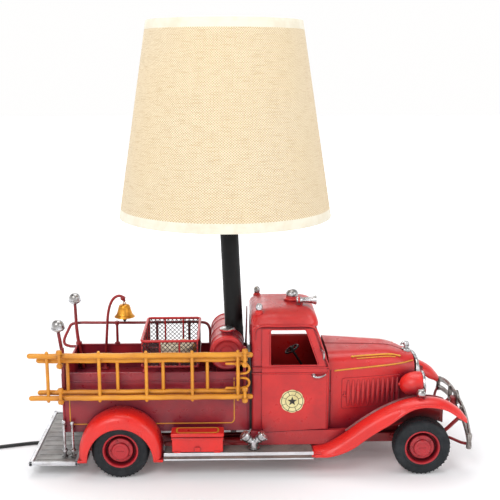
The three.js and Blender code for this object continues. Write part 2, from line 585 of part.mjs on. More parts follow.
for (const angle of [0.5, 0.5 + 2 * Math.PI / 3, 0.5 + 4 * Math.PI / 3]) {
  const reach = shadeRadius(topRingZ) - ringInset;
  const away = (r) => [r * Math.cos(angle), r * Math.sin(angle)];
  spiderParts.push(rod([...away(6.5), 160.75], [...away(reach - 8), 160.75], 1.2, 8));
  spiderParts.push(rod([...away(reach - 9), 160.5], [...away(reach), topRingZ - lift], 1.2, 8));
}
addPiece('shade_spider', union(...spiderParts), 'brass', upper);
const bottomRingZ = SHADE_BOTTOM + 2.5;
addPiece('shade_bottom_ring', wireRing(shadeRadius(bottomRingZ) - ringInset, 1.3)
  .translate(0, 0, bottomRingZ - lift), 'brass', upper);

// ---- cord: gland under the tailboard, a run on the table, a neat coil and a two-pin plug --------------------
const GLAND_X = -163;
const GLAND_Y = 12;
const GLAND_Z = 6.8;
const glandBody = turned([[0, 0], [4.2, 0], [4.2, 3], [3.4, 5], [2.5, 17], [0, 17]], 16).rotateY(-Math.PI / 2)
  .translate(GLAND_X, GLAND_Y, GLAND_Z);
const glandFoot = box(-165.6, -161, GLAND_Y - 4, GLAND_Y + 4, GLAND_Z - 3, 15.8 - GAP);
addPiece('cord_gland', union(glandBody, glandFoot), 'black');
const cordRoute = [
  [-180.4, 12, 6.8], [-186, 12, 6.6], [-193, 12, 5.2], [-200, 12, 3.4], [-207, 11.9, 2.2], [-214, 11.6, CORD_Z],
  [-222, 11, CORD_Z], [-232, 9, CORD_Z], [-242, 6, CORD_Z], [-252, 3.2, CORD_Z], [-262, 0.6, CORD_Z],
  [-272, -1.6, CORD_Z], [-281, -3, CORD_Z], [-287.6, -3.4, CORD_Z],
];
addPiece('cord_run', bentRod(cordRoute, CORD_RADIUS, 26), 'black');
addPiece('cord_coil', turned([[COIL.inner, 0.1], [COIL.outer, 0.1], [COIL.outer, COIL.height],
  [COIL.inner, COIL.height], [COIL.inner, 0.1]], 28).translate(COIL.x, COIL.y, 0), 'black');
const plugBody = alongZ([[-3, -2.4], [3, -2.4], [5, 6], [10, 14], [10, 30], [-10, 30], [-10, 14], [-5, 6]], 0.1, 11);
const pins = [-6.35, 6.35].map((x) => box(x - 0.8, x + 0.8, 29, 46, 2.4, 8.7));
addPiece('cord_plug', union(plugBody, ...pins).translate(COIL.x - 35, COIL.y - 0.6, 0), 'black');
const tailRoute = [
  [-22, -19.8, CORD_Z], [-26.6, -17.6, 2.2], [-30.6, -14, 3.2], [-33.4, -9, 4.6], [-34.7, -5.4, 5.3],
  [-35, -3.4, 5.5],
].map(([x, y, z]) => [COIL.x + x, COIL.y + y, z]);
addPiece('cord_tail', bentRod(tailRoute, CORD_RADIUS, 6), 'black');

export default lamp;
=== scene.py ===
from math import asin, atan2, copysign, cos, degrees, floor, hypot, pi, radians, sin, tau

import bmesh
import bpy
from mathutils import Matrix, Vector


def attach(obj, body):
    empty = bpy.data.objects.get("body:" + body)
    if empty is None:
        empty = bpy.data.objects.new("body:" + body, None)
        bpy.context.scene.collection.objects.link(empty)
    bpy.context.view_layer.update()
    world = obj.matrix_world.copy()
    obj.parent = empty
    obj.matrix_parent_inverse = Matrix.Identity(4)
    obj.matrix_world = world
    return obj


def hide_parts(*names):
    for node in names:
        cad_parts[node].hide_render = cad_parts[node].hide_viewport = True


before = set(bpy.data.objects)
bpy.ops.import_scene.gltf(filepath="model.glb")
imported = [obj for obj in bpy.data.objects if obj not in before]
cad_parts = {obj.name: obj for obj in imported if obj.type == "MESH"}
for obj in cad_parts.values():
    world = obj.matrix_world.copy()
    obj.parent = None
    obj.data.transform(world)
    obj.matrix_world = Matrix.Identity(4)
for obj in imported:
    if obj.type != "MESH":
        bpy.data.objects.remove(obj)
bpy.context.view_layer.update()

# Table lamp on a model fire engine. Sizes below are in millimetres, in the shared frame:
# +X the way the engine faces, +Y its left side, +Z up from the table. MM turns them into metres.
MM = 0.001


# ---- mesh helpers -----------------------------------------------------------------------------
def show(name, mesh):
    obj = bpy.data.objects.new(name, mesh)
    bpy.context.scene.collection.objects.link(obj)
    return obj


def piece(name, points, faces, sharp=38.0):
    """A mesh object from points in millimetres, smooth except at edges sharper than the angle."""
    mesh = bpy.data.meshes.new(name)
    mesh.from_pydata([Vector(p) * MM for p in points], [], faces)
    work = bmesh.new()
    work.from_mesh(mesh)
    bmesh.ops.remove_doubles(work, verts=work.verts, dist=1e-7)
    bmesh.ops.recalc_face_normals(work, faces=work.faces)
    work.to_mesh(mesh)
    work.free()
    smooth(mesh, sharp)
    return show(name, mesh)


def smooth(mesh, sharp=38.0):
    """Smooth shading with hard edges above the angle."""
    mesh.polygons.foreach_set("use_smooth", [True] * len(mesh.polygons))
    if sharp < 180:
        mesh.set_sharp_from_angle(angle=radians(sharp))


def grid_faces(rows, columns, close_rows, close_columns):
    """Quads between rows of equally many points."""
    faces = []
    for r in range(rows if close_rows else rows - 1):
        for c in range(columns if close_columns else columns - 1):
            s, d = (r + 1) % rows, (c + 1) % columns
            faces.append((r * columns + c, r * columns + d, s * columns + d, s * columns + c))
    return faces


def loft(name, rings, closed=True, caps=True, sharp=38.0, looped=False):
    """A skin over rings of equally many points, with flat ends where caps is true."""
    points = [p for ring in rings for p in ring]
    count = len(rings[0])
    faces = grid_faces(len(rings), count, looped, closed)
    if caps and closed:
        faces.append(tuple(range(count))[::-1])
        faces.append(tuple(range(len(points) - count, len(points))))
    return piece(name, points, faces, sharp)


AXES = {"Z": Matrix.Identity(3), "X": Matrix(((0, 0, 1), (0, 1, 0), (-1, 0, 0))),
    "Y": Matrix(((1, 0, 0), (0, 0, 1), (0, -1, 0)))}


def round_angles(count):
    """Equally spaced angles once round."""
    return [tau * k / count for k in range(count)]


def lathe(name, profile, at, axis="Z", steps=48, sharp=38.0, closed=False, turn=None):
    """A profile of (radius, height) pairs turned about an axis through a place."""
    rings = []
    for radius, height in profile:
        ring = []
        for angle in round_angles(steps):
            p = AXES[axis] @ Vector((radius * cos(angle), radius * sin(angle), height))
            ring.append((turn @ p if turn else p) + Vector(at))
        rings.append(ring)
    return loft(name, rings, caps=False, sharp=sharp, looped=closed)


def curve_through(points, per_span=6, closed=False):
    """Points of a smooth curve through the given ones (centripetal Catmull-Rom)."""
    given = [Vector(p) for p in points]
    if closed:
        given = [given[-1], *given, given[0], given[1]]
    else:
        given = [2 * given[0] - given[1], *given, 2 * given[-1] - given[-2]]
    out = []
    for a, b, c, d in zip(given, given[1:], given[2:], given[3:]):
        t1 = (b - a).length ** 0.5
        t2 = t1 + max((c - b).length, 1e-6) ** 0.5
        t3 = t2 + (d - c).length ** 0.5
        for i in range(per_span):
            t = t1 + (t2 - t1) * i / per_span
            ab = a * (t1 - t) / t1 + b * t / t1
            bc = b * (t2 - t) / (t2 - t1) + c * (t - t1) / (t2 - t1)
            cd = c * (t3 - t) / (t3 - t2) + d * (t - t2) / (t3 - t2)
            abc = ab * (t2 - t) / t2 + bc * t / t2
            bcd = bc * (t3 - t) / (t3 - t1) + cd * (t - t1) / (t3 - t1)
            out.append(abc * (t2 - t) / (t2 - t1) + bcd * (t - t1) / (t2 - t1))
    if not closed:
        out.append(given[-2])
    return out


def frames_along(path, closed=False):
    """A pair of normals at each point of a path, turning as little as possible."""
    count = len(path)
    tangents = []
    for i in range(count):
        ahead = path[(i + 1) % count] if closed or i < count - 1 else path[i]
        behind = path[i - 1] if closed or i > 0 else path[i]
        tangents.append((ahead - behind).normalized())
    side = tangents[0].orthogonal().normalized()
    pairs = []
    for tangent in tangents:
        side = (side - tangent * side.dot(tangent)).normalized()
        pairs.append((tangent, side, tangent.cross(side)))
    return pairs


def tube(name, path, radius, sides=10, closed=False, round_ends=True):
    """A round wire along a path; radius is a number or a function of the place from 0 to 1."""
    path = [Vector(p) for p in path]
    size = radius if callable(radius) else lambda t: radius
    pairs = frames_along(path, closed)
    rings = [(at, u, v, size(i / (len(path) - 1))) for i, (at, (_, u, v)) in enumerate(zip(path, pairs))]
    if not closed and round_ends:
        for end, way in ((0, -1), (-1, 1)):
            at, u, v, r = rings[end]
            tangent = pairs[end][0] * way
            extra = [(at + tangent * r * 0.5, u, v, r * 0.86), (at + tangent * r * 0.86, u, v, r * 0.5)]
            rings = extra[::-1] + rings if end == 0 else rings + extra
    skins = [[at + (u * cos(a) + v * sin(a)) * r for a in round_angles(sides)] for at, u, v, r in rings]
    return loft(name, skins, caps=not closed, sharp=180.0, looped=closed)


def rounded(u0, u1, v0, v1, radius, steps=5):
    """Corner-rounded rectangle as (u, v) pairs."""
    out = []
    corners = ((u1 - radius, v0 + radius, -90), (u1 - radius, v1 - radius, 0), (u0 + radius, v1 - radius, 90),
        (u0 + radius, v0 + radius, 180))
    for cu, cv, start in corners:
        for i in range(steps + 1):
            angle = radians(start + 90 * i / steps)
            out.append((cu + radius * cos(angle), cv + radius * sin(angle)))
    return out


PLANES = {"XY": lambda u, v, w: (u, v, w), "XZ": lambda u, v, w: (u, w, v), "YZ": lambda u, v, w: (w, u, v)}


def slab(name, outline, w0, w1, plane="XY", edge=0.4, segments=2):
    """A flat outline with thickness and softened edges."""
    put = PLANES[plane]
    rings = [[put(u, v, w) for u, v in outline] for w in (w0, w1)]
    obj = loft(name, rings)
    if edge:
        bevel(obj, edge, segments)
    return obj


def block(name, low, high, edge=0.5, segments=2):
    """A small block with softened edges."""
    return slab(name, [(low[0], low[1]), (high[0], low[1]), (high[0], high[1]), (low[0], high[1])], low[2],
        high[2], edge=edge, segments=segments)


def bevel(obj, width, segments=2):
    mod = obj.modifiers.new("bevel", "BEVEL")
    mod.width = width * MM
    mod.segments = segments
    mod.limit_method = "ANGLE"
    mod.angle_limit = radians(32)
    return obj


def subdivide(obj):
    mod = obj.modifiers.new("subdivide", "SUBSURF")
    mod.levels = mod.render_levels = 1


def thicken(obj, thickness, offset=-1.0):
    mod = obj.modifiers.new("thicken", "SOLIDIFY")
    mod.thickness = thickness * MM
    mod.offset = offset
    mod.use_even_offset = True


def settle(obj):
    """Applies an object's modifiers, so that it can be joined or mirrored."""
    depsgraph = bpy.context.evaluated_depsgraph_get()
    mesh = bpy.data.meshes.new_from_object(obj.evaluated_get(depsgraph))
    mesh.name = obj.name
    obj.modifiers.clear()
    old = obj.data
    obj.data = mesh
    bpy.data.meshes.remove(old)
    return obj


def join(name, objects):
    """One object from several, modifiers applied, material slots kept."""
    bpy.context.view_layer.update()
    work = bmesh.new()
    materials = []
    for obj in objects:
        if obj.modifiers:
            settle(obj)
        start = len(work.faces)
        work.from_mesh(obj.data)
        work.faces.ensure_lookup_table()
        for material in obj.data.materials:
            if material not in materials:
                materials.append(material)
        for face in work.faces[start:]:
            if obj.data.materials:
                face.material_index = materials.index(obj.data.materials[min(face.material_index,
                    len(obj.data.materials) - 1)])
    mesh = bpy.data.meshes.new(name)
    work.to_mesh(mesh)
    work.free()
    for material in materials:
        mesh.materials.append(material)
    for obj in objects:
        old = obj.data
        bpy.data.objects.remove(obj)
        if old.users == 0:
            bpy.data.meshes.remove(old)
    return show(name, mesh)


def mirror(obj, name):
    """A copy on the other side of the centre plane."""
    bpy.context.view_layer.update()
    if obj.modifiers:
        settle(obj)
    mesh = obj.data.copy()
    mesh.transform(Matrix.Scale(-1, 4, (0, 1, 0)))
    mesh.flip_normals()
    mesh.name = name
    return show(name, mesh)


def dress(obj, material, slot, *nodes, body="root"):
    """Material, body and the CAD nodes a piece stands in for, in one go; the record slot is not used."""
    if material is not None:
        obj.data.materials.clear()
        obj.data.materials.append(material)
    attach(obj, body)
    if nodes:
        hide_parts(*nodes)
    return obj


def unite(name, parts, material, slot, *nodes, body="root"):
    """One dressed piece from several parts; without a material the parts keep theirs."""
    return dress(join(name, parts), material, slot, *nodes, body=body)


def paint(material, *parts):
    """Material of parts that are still to be joined."""
    for part in parts:
        part.data.materials.append(material)


def dress_pair(name, node, parts, slot):
    """Joins the right-hand parts, mirrors them and stands both in for their nodes."""
    right = join(f"{name}_right", parts)
    left = mirror(right, f"{name}_left")
    for obj, side in ((right, "right"), (left, "left")):
        dress(obj, None, slot, f"{node}_{side}")


# ---- materials --------------------------------------------------------------------------------
def srgb(red, green, blue):
    """Linear colour from the 0 to 255 numbers of a colour picker."""
    def linear(c):
        c /= 255
        return c / 12.92 if c <= 0.04045 else ((c + 0.055) / 1.055) ** 2.4
    return linear(red), linear(green), linear(blue), 1.0


class Finish:
    """One material's nodes, with short calls to add and join them."""

    def __init__(self, name, roughness=0.5, metallic=0.0, **constants):
        self.made = bpy.data.materials.new(name)
        self.made.use_nodes = True
        self.tree = self.made.node_tree
        self.shader = self.tree.nodes["Principled BSDF"]
        self.coordinates = self.node("ShaderNodeTexCoord")
        self.place = self.coordinates.outputs["Object"]
        self.shader.inputs["Roughness"].default_value = roughness
        self.shader.inputs["Metallic"].default_value = metallic
        for key, value in constants.items():
            self.shader.inputs[key.replace("_", " ")].default_value = value

    def node(self, kind, links=None, **settings):
        made = self.tree.nodes.new(kind)
        for key, value in settings.items():
            setattr(made, key, value)
        for key, value in (links or {}).items():
            self.give(made.inputs[key], value)
        return made

    def give(self, socket, value):
        if isinstance(value, bpy.types.NodeSocket):
            self.tree.links.new(value, socket)
        else:
            socket.default_value = value

    def set(self, name, value):
        self.give(self.shader.inputs[name], value)

    def noise(self, scale, detail=3.0, stretch=(1, 1, 1), place=None, roughness=0.55):
        mapping = self.node("ShaderNodeMapping", {"Vector": place or self.place, "Scale": stretch})
        return self.node("ShaderNodeTexNoise", {"Vector": mapping.outputs["Vector"], "Scale": scale,
            "Detail": detail, "Roughness": roughness}).outputs["Fac"]

    def fade(self, value, low, high, start=0.0, end=1.0):
        return self.node("ShaderNodeMapRange", {"Value": value, "From Min": low, "From Max": high,
            "To Min": start, "To Max": end}, interpolation_type="SMOOTHSTEP").outputs["Result"]

    def mix(self, factor, a, b):
        made = self.node("ShaderNodeMix", data_type="RGBA")
        self.give(made.inputs[0], factor)
        self.give(made.inputs[6], a)
        self.give(made.inputs[7], b)
        return made.outputs[2]

    def math(self, way, a, b=0.0):
        made = self.node("ShaderNodeMath", operation=way)
        self.give(made.inputs[0], a)
        self.give(made.inputs[1], b)
        return made.outputs[0]

    def tint(self, colour, where, share, other):
        """The colour with a share of another one where a mask says so."""
        return self.mix(self.math("MULTIPLY", where, share), colour, other)

    def corner_shade(self, distance):
        """Mask for painted shade: 1 in corners and under overhangs, 0 in the open."""
        reach = self.node("ShaderNodeAmbientOcclusion", {"Distance": distance * MM}, samples=6)
        return self.fade(reach.outputs["AO"], 0.35, 0.92, 1.0, 0.0)

    def edge(self, low=0.52, high=0.62):
        """1 on outer edges of a bevelled mesh."""
        return self.fade(self.node("ShaderNodeNewGeometry").outputs["Pointiness"], low, high)

    def bump(self, height, strength=0.3, distance=0.2):
        made = self.node("ShaderNodeBump", {"Height": height, "Strength": strength, "Distance": distance * MM})
        self.set("Normal", made.outputs["Normal"])


def enamel(name, bright, deep, painted_shade_and_grime, worn, reach=16, gloss=0.34):
    """Hand-painted tinplate: cloudy colour, painted shade in its corners, rubbed at edges."""
    f = Finish(name, Coat_Weight=0.12, Coat_Roughness=0.22)
    clouds = f.fade(f.noise(26, 4), 0.35, 0.68)
    streaks = f.fade(f.noise(70, 3, (1, 1, 0.25)), 0.5, 0.75)
    colour = f.mix(clouds, bright, deep)
    colour = f.tint(colour, streaks, 0.1, painted_shade_and_grime)
    # Painted shade: corners and overhangs tinted towards the fourth colour.
    dark = f.corner_shade(reach)
    colour = f.tint(colour, dark, 0.8, painted_shade_and_grime)
    rubbed = f.math("MULTIPLY", f.edge(), f.fade(f.noise(240, 3), 0.5, 0.62))
    colour = f.tint(colour, rubbed, 0.4, worn)
    specks = f.fade(f.noise(900, 2), 0.69, 0.74)
    colour = f.tint(colour, specks, 0.12, painted_shade_and_grime)
    f.set("Base Color", colour)
    f.set("Roughness", f.fade(f.noise(110, 3), 0.3, 0.75, gloss - 0.07, gloss + 0.12))
    height = f.math("ADD", f.math("MULTIPLY", f.noise(60, 2), 0.7), f.math("MULTIPLY", f.noise(700, 2), 0.12))
    f.bump(height, 0.25, 0.6)
    return f.made


def polished(name, light, dark, roughness):
    """Plated or polished metal with painted shade in its corners, dirty spots and fine scratches."""
    f = Finish(name, metallic=1.0)
    colour = f.mix(f.fade(f.noise(120, 4), 0.35, 0.7), light, dark)
    # Painted shade: corners darkened towards dark grey-brown.
    colour = f.tint(colour, f.corner_shade(5), 0.6, srgb(58, 50, 46))
    spots = f.fade(f.noise(650, 3), 0.62, 0.72)
    colour = f.tint(colour, spots, 0.15, srgb(70, 62, 56))
    f.set("Base Color", colour)
    f.set("Roughness", f.fade(f.noise(300, 4), 0.3, 0.72, roughness, roughness + 0.16))
    f.bump(f.noise(420, 3, (1, 1, 0.3)), 0.03, 0.1)
    return f.made


def aged_tin(name, light, dark, metallic, shine=0.5, worn=0.8):
    """Plate rubbed through to dark metal and grime, as on the tailboard and running boards; painted shade darkens its
    corners, and its edges are lightened as worn bright metal and painted highlight.
    """
    f = Finish(name, metallic=metallic, Specular_IOR_Level=shine)
    blotch = f.fade(f.noise(48, 6, roughness=0.7), 0.42, 0.62)
    colour = f.mix(blotch, light, dark)
    stain = f.fade(f.noise(130, 5, (0.35, 1, 1), roughness=0.7), 0.52, 0.66)
    colour = f.tint(colour, stain, 0.8, srgb(88, 74, 62))
    # Painted shade: corners and overhangs darkened towards dark grey-brown.
    colour = f.tint(colour, f.corner_shade(7), 0.8, srgb(52, 46, 42))
    # Edges lightened towards near white: worn bright metal and a painted highlight.
    worn_edge_and_highlight = f.edge(0.51, 0.58)
    colour = f.tint(colour, worn_edge_and_highlight, worn, srgb(232, 234, 238))
    f.set("Base Color", colour)
    f.set("Roughness", f.fade(f.noise(90, 5), 0.3, 0.7, 0.28, 0.58))
    f.bump(f.math("ADD", f.noise(180, 4), f.math("MULTIPLY", f.noise(900, 2), 0.3)), 0.3, 0.35)
    return f.made


def rubber():
    """Dusty black tyre rubber."""
    f = Finish("tyre_rubber", Specular_IOR_Level=0.35)
    dust = f.fade(f.noise(60, 4), 0.45, 0.7)
    colour = f.mix(dust, srgb(22, 26, 30), srgb(36, 40, 44))
    # Painted shade: corners and overhangs darkened towards near black.
    colour = f.tint(colour, f.corner_shade(3), 0.6, srgb(14, 15, 17))
    f.set("Base Color", colour)
    f.set("Roughness", f.fade(f.noise(220, 3), 0.3, 0.7, 0.5, 0.72))
    f.bump(f.noise(1400, 2), 0.2, 0.12)
    return f.made


def satin(name, dark, light, roughness=0.4, scale=500, shine=0.5):
    """Moulded plastic or powder-coated metal."""
    f = Finish(name, Specular_IOR_Level=shine)
    f.set("Base Color", f.mix(f.fade(f.noise(55, 4), 0.35, 0.7), dark, light))
    f.set("Roughness", f.fade(f.noise(160, 3), 0.3, 0.7, roughness - 0.06, roughness + 0.08))
    f.bump(f.noise(scale, 2), 0.25, 0.08)
    return f.made


def linen():
    """Coarse woven shade cloth; its UVs are metres along the thread directions."""
    f = Finish("shade_linen", roughness=0.85, Sheen_Weight=0.15, Specular_IOR_Level=0.2)
    uv = f.coordinates.outputs["UV"]
    split = f.node("ShaderNodeSeparateXYZ", {"Vector": uv})
    across, up = split.outputs["X"], split.outputs["Y"]
    sway_u = f.math("MULTIPLY", f.noise(90, 2, place=uv), 2.4)
    sway_v = f.math("MULTIPLY", f.noise(120, 2, (0.4, 2.2, 1), place=uv), 2.6)
    pitch = tau / 0.0025
    warp = f.math("SINE", f.math("ADD", f.math("MULTIPLY", across, pitch), sway_u))
    weft = f.math("SINE", f.math("ADD", f.math("MULTIPLY", up, pitch * 1.12), sway_v))
    over = f.math("MULTIPLY", warp, weft)
    slub_h = f.noise(1.0, 3, (70, 1100, 1), place=uv)
    slub_v = f.noise(1.0, 3, (1300, 60, 1), place=uv)
    slubs = f.math("MAXIMUM", f.fade(slub_h, 0.5, 0.68), f.math("MULTIPLY", f.fade(slub_v, 0.52, 0.7), 0.75))
    threads = f.fade(over, -0.9, 0.9)
    colour = f.mix(threads, srgb(192, 166, 124), srgb(248, 236, 210))
    colour = f.tint(colour, slubs, 0.5, srgb(196, 166, 122))
    colour = f.tint(colour, f.fade(f.noise(9, 2), 0.3, 0.7), 0.2, srgb(226, 198, 148))
    f.set("Base Color", colour)
    f.bump(f.math("ADD", over, f.math("MULTIPLY", slubs, 1.2)), 0.55, 0.25)
    return f.made


def ribbon(name="shade_ribbon", colour_a=(234, 229, 212), colour_b=(226, 218, 197)):
    """Fine grosgrain trim."""
    f = Finish(name, roughness=0.8, Sheen_Weight=0.2, Specular_IOR_Level=0.2)
    uv = f.coordinates.outputs["UV"]
    split = f.node("ShaderNodeSeparateXYZ", {"Vector": uv})
    ribs = f.math("SINE", f.math("MULTIPLY", split.outputs["X"], tau / 0.0009))
    colour = f.mix(f.fade(f.noise(70, 3), 0.35, 0.7), srgb(*colour_a), srgb(*colour_b))
    f.set("Base Color", f.mix(f.math("MULTIPLY", f.fade(ribs, -1, 1), 0.18), colour, srgb(222, 208, 176)))
    f.bump(ribs, 0.3, 0.12)
    return f.made


def canvas_hose():
    """Woven fire hose with shade painted between its turns."""
    f = Finish("hose_canvas", roughness=0.9, Specular_IOR_Level=0.2)
    weave = f.node("ShaderNodeTexVoronoi", {"Vector": f.place, "Scale": 900.0})
    colour = f.mix(f.fade(f.noise(60, 4), 0.35, 0.7), srgb(232, 222, 200), srgb(206, 190, 160))
    # Painted shade: darker brown between the turns and under overhangs.
    colour = f.tint(colour, f.corner_shade(4), 0.8, srgb(92, 70, 52))
    f.set("Base Color", colour)
    f.bump(weave.outputs["Distance"], 0.5, 0.25)
    return f.made


def glass(name, tint, roughness, frosted):
    """Frosted bulb glass or a clearer lamp lens."""
    f = Finish(name, Coat_Weight=0.4, Coat_Roughness=0.08)
    f.set("Base Color", f.mix(f.fade(f.noise(40, 3), 0.35, 0.7), tint, srgb(236, 234, 228)))
    f.set("Roughness", f.fade(f.noise(120, 3), 0.3, 0.7, roughness, roughness + 0.1))
    if not frosted:
        f.shader.inputs["Transmission Weight"].default_value = 0.35
    f.bump(f.noise(500, 2), 0.08, 0.1)
    return f.made


# The fourth colour of each enamel is painted as shade into its corners, and it also tints its grime streaks and specks.
BURGUNDY = srgb(104, 26, 44)
RED = enamel("red_enamel", srgb(226, 36, 28), srgb(212, 36, 32), BURGUNDY, srgb(150, 40, 30))
# Its 30 mm reach spreads the painted shade far out from corners and beads.
DEEP_RED = enamel("deep_red_enamel", srgb(206, 36, 34), srgb(186, 32, 34), srgb(84, 20, 40), srgb(140, 36, 30), 30)
RIM_RED = enamel("rim_enamel", srgb(182, 30, 40), srgb(158, 26, 36), srgb(70, 16, 26), srgb(110, 30, 30), 10)
DARK_RED = enamel("dark_red_enamel", srgb(156, 28, 32), srgb(128, 24, 30), srgb(60, 16, 24), srgb(90, 28, 24), 10)
YELLOW = enamel("yellow_enamel", srgb(226, 152, 34), srgb(206, 132, 28), srgb(132, 74, 22), srgb(120, 70, 30), 5, 0.4)
GOLD = enamel("gold_line_paint", srgb(226, 156, 44), srgb(206, 134, 34), srgb(120, 74, 30), srgb(110, 70, 30), 4, 0.4)
BLACK = satin("satin_black_pole", srgb(5, 6, 7), srgb(11, 12, 13), 0.42, shine=0.25)
NET = satin("net_wire", srgb(40, 24, 32), srgb(62, 32, 38), 0.45)
BED_RED = enamel("bed_enamel", srgb(176, 34, 42), srgb(138, 28, 42), srgb(78, 20, 42), srgb(140, 36, 30), 34)
BLACK_PAINT = satin("black_paint", srgb(22, 20, 20), srgb(40, 34, 32), 0.5)
PVC = satin("cord_pvc", srgb(14, 14, 15), srgb(24, 24, 26), 0.42, 300)
SEAT = satin("seat_paint", srgb(58, 30, 26), srgb(84, 42, 34), 0.5)
CHROME = polished("aged_chrome", srgb(206, 207, 210), srgb(150, 147, 144), 0.2)
DULL_CHROME = polished("dull_chrome", srgb(166, 162, 158), srgb(112, 104, 100), 0.28)
BOARD = aged_tin("board_plate", srgb(118, 92, 80), srgb(82, 60, 52), 0.0, shine=0.08, worn=0.1)
BRIGHT_PIN = polished("plug_pin_metal", srgb(226, 216, 190), srgb(200, 190, 166), 0.2)
BRASS = polished("bell_brass", srgb(226, 160, 62), srgb(186, 120, 42), 0.3)
LAMP_BRASS = polished("lamp_brass", srgb(222, 180, 98), srgb(190, 146, 74), 0.22)
WIRE = polished("shade_wire_zinc", srgb(210, 208, 202), srgb(176, 172, 164), 0.3)
TIN = aged_tin("aged_tin", srgb(190, 191, 194), srgb(116, 108, 100), 0.75)
PLATE = aged_tin("worn_plate", srgb(112, 108, 100), srgb(76, 70, 64), 0.1, shine=0.15, worn=0.2)
RUBBER = rubber()
LINEN = linen()
RIBBON = ribbon()
LINER = ribbon("shade_liner", (252, 250, 244), (244, 240, 230))
HOSE = canvas_hose()
BULB = glass("frosted_bulb", srgb(250, 248, 242), 0.35, True)
LENS = glass("lamp_lens", srgb(205, 212, 216), 0.12, False)
EMBLEM = satin("badge_cream", srgb(236, 226, 170), srgb(214, 200, 140), 0.45)


# ---- camera, floor and light ------------------------------------------------------------------
# The camera was fitted to the shade of the photograph: metres and degrees.
CAMERA_AT = (-0.0228, -0.8704, 0.388)
LOOKS_DOWN, LOOKS_LEFT = 11.7, -1.5


def set_scene():
    """A plain pale floor, soft studio light and the camera of the photograph."""
    scene = bpy.context.scene
    scene.view_settings.view_transform = "Standard"
    camera = bpy.data.objects.new("camera", bpy.data.cameras.new("camera"))
    scene.collection.objects.link(camera)
    camera.location = CAMERA_AT
    camera.rotation_euler = (radians(90 - LOOKS_DOWN), 0, radians(LOOKS_LEFT))
    camera.data.lens = 64.8
    camera.data.sensor_width = 36
    camera.data.clip_start = 0.01
    scene.camera = camera

    edges = (-6000, -600, 600, 6000)
    rows = [[(x, y, 0) for x in edges] for y in edges]
    floor = loft("floor", rows, closed=False)
    f = Finish("floor_paper", roughness=0.75, Specular_IOR_Level=0.15)
    f.set("Base Color", f.mix(f.noise(3, 2), srgb(248, 248, 249), srgb(243, 243, 246)))
    far = f.fade(f.node("ShaderNodeVectorMath", {0: f.place}, operation="LENGTH").outputs["Value"], 0.35, 1.1)
    f.set("Emission Color", (1, 1, 1, 1))
    f.set("Emission Strength", f.math("ADD", f.math("MULTIPLY", far, 0.5), 0.06))
    floor.data.materials.append(f.made)

    world = bpy.data.worlds.new("studio")
    world.use_nodes = True
    backdrop = world.node_tree.nodes["Background"]
    backdrop.inputs["Color"].default_value = (1.0, 0.995, 0.99, 1)
    tree = world.node_tree
    sky = tree.nodes.new("ShaderNodeSeparateXYZ")
    tree.links.new(tree.nodes.new("ShaderNodeTexCoord").outputs["Generated"], sky.inputs[0])
    dimming = tree.nodes.new("ShaderNodeMapRange")
    dimming.interpolation_type = "SMOOTHSTEP"
    for key, value in (("From Min", 0.3), ("From Max", 0.75), ("To Min", 1.0), ("To Max", 0.3)):
        dimming.inputs[key].default_value = value
    tree.links.new(sky.outputs["Z"], dimming.inputs["Value"])
    tree.links.new(dimming.outputs["Result"], backdrop.inputs["Strength"])
    scene.world = world
    target = Vector((-0.01, 0, 0.16))
    for name, at, size, power in (("key", (-0.75, -1.15, 1.35), 0.9, 12), ("fill", (1.1, -0.8, 0.9), 0.8, 4),
            ("top", (0.1, 0.25, 1.7), 1.2, 14), ("back", (-0.4, 1.3, 0.9), 0.9, 4)):
        light = bpy.data.lights.new(name, "AREA")
        light.size = size
        light.energy = power
        obj = bpy.data.objects.new(name, light)
        obj.location = at
        obj.rotation_euler = (target - Vector(at)).to_track_quat("-Z", "Y").to_euler()
        scene.collection.objects.link(obj)


set_scene()

# ---- mains cord -------------------------------------------------------------------------------
CORD_R = 1.8
COIL_X, COIL_Y = -303, 22
COIL_INNER, COIL_OUTER = 16.4, 26.6
TURNS_A_LAYER = (COIL_OUTER - COIL_INNER) / (2 * CORD_R)
LAYERS = 4
PLUG_X = -338


def ease(t):
    """A soft step from 0 to 1."""
    t = min(max(t, 0.0), 1.0)
    return t * t * (3 - 2 * t)


def on_coil(radius, angle, height):
    """A place round the coil's centre."""
    return Vector((COIL_X + radius * cos(angle), COIL_Y + radius * sin(angle), height))


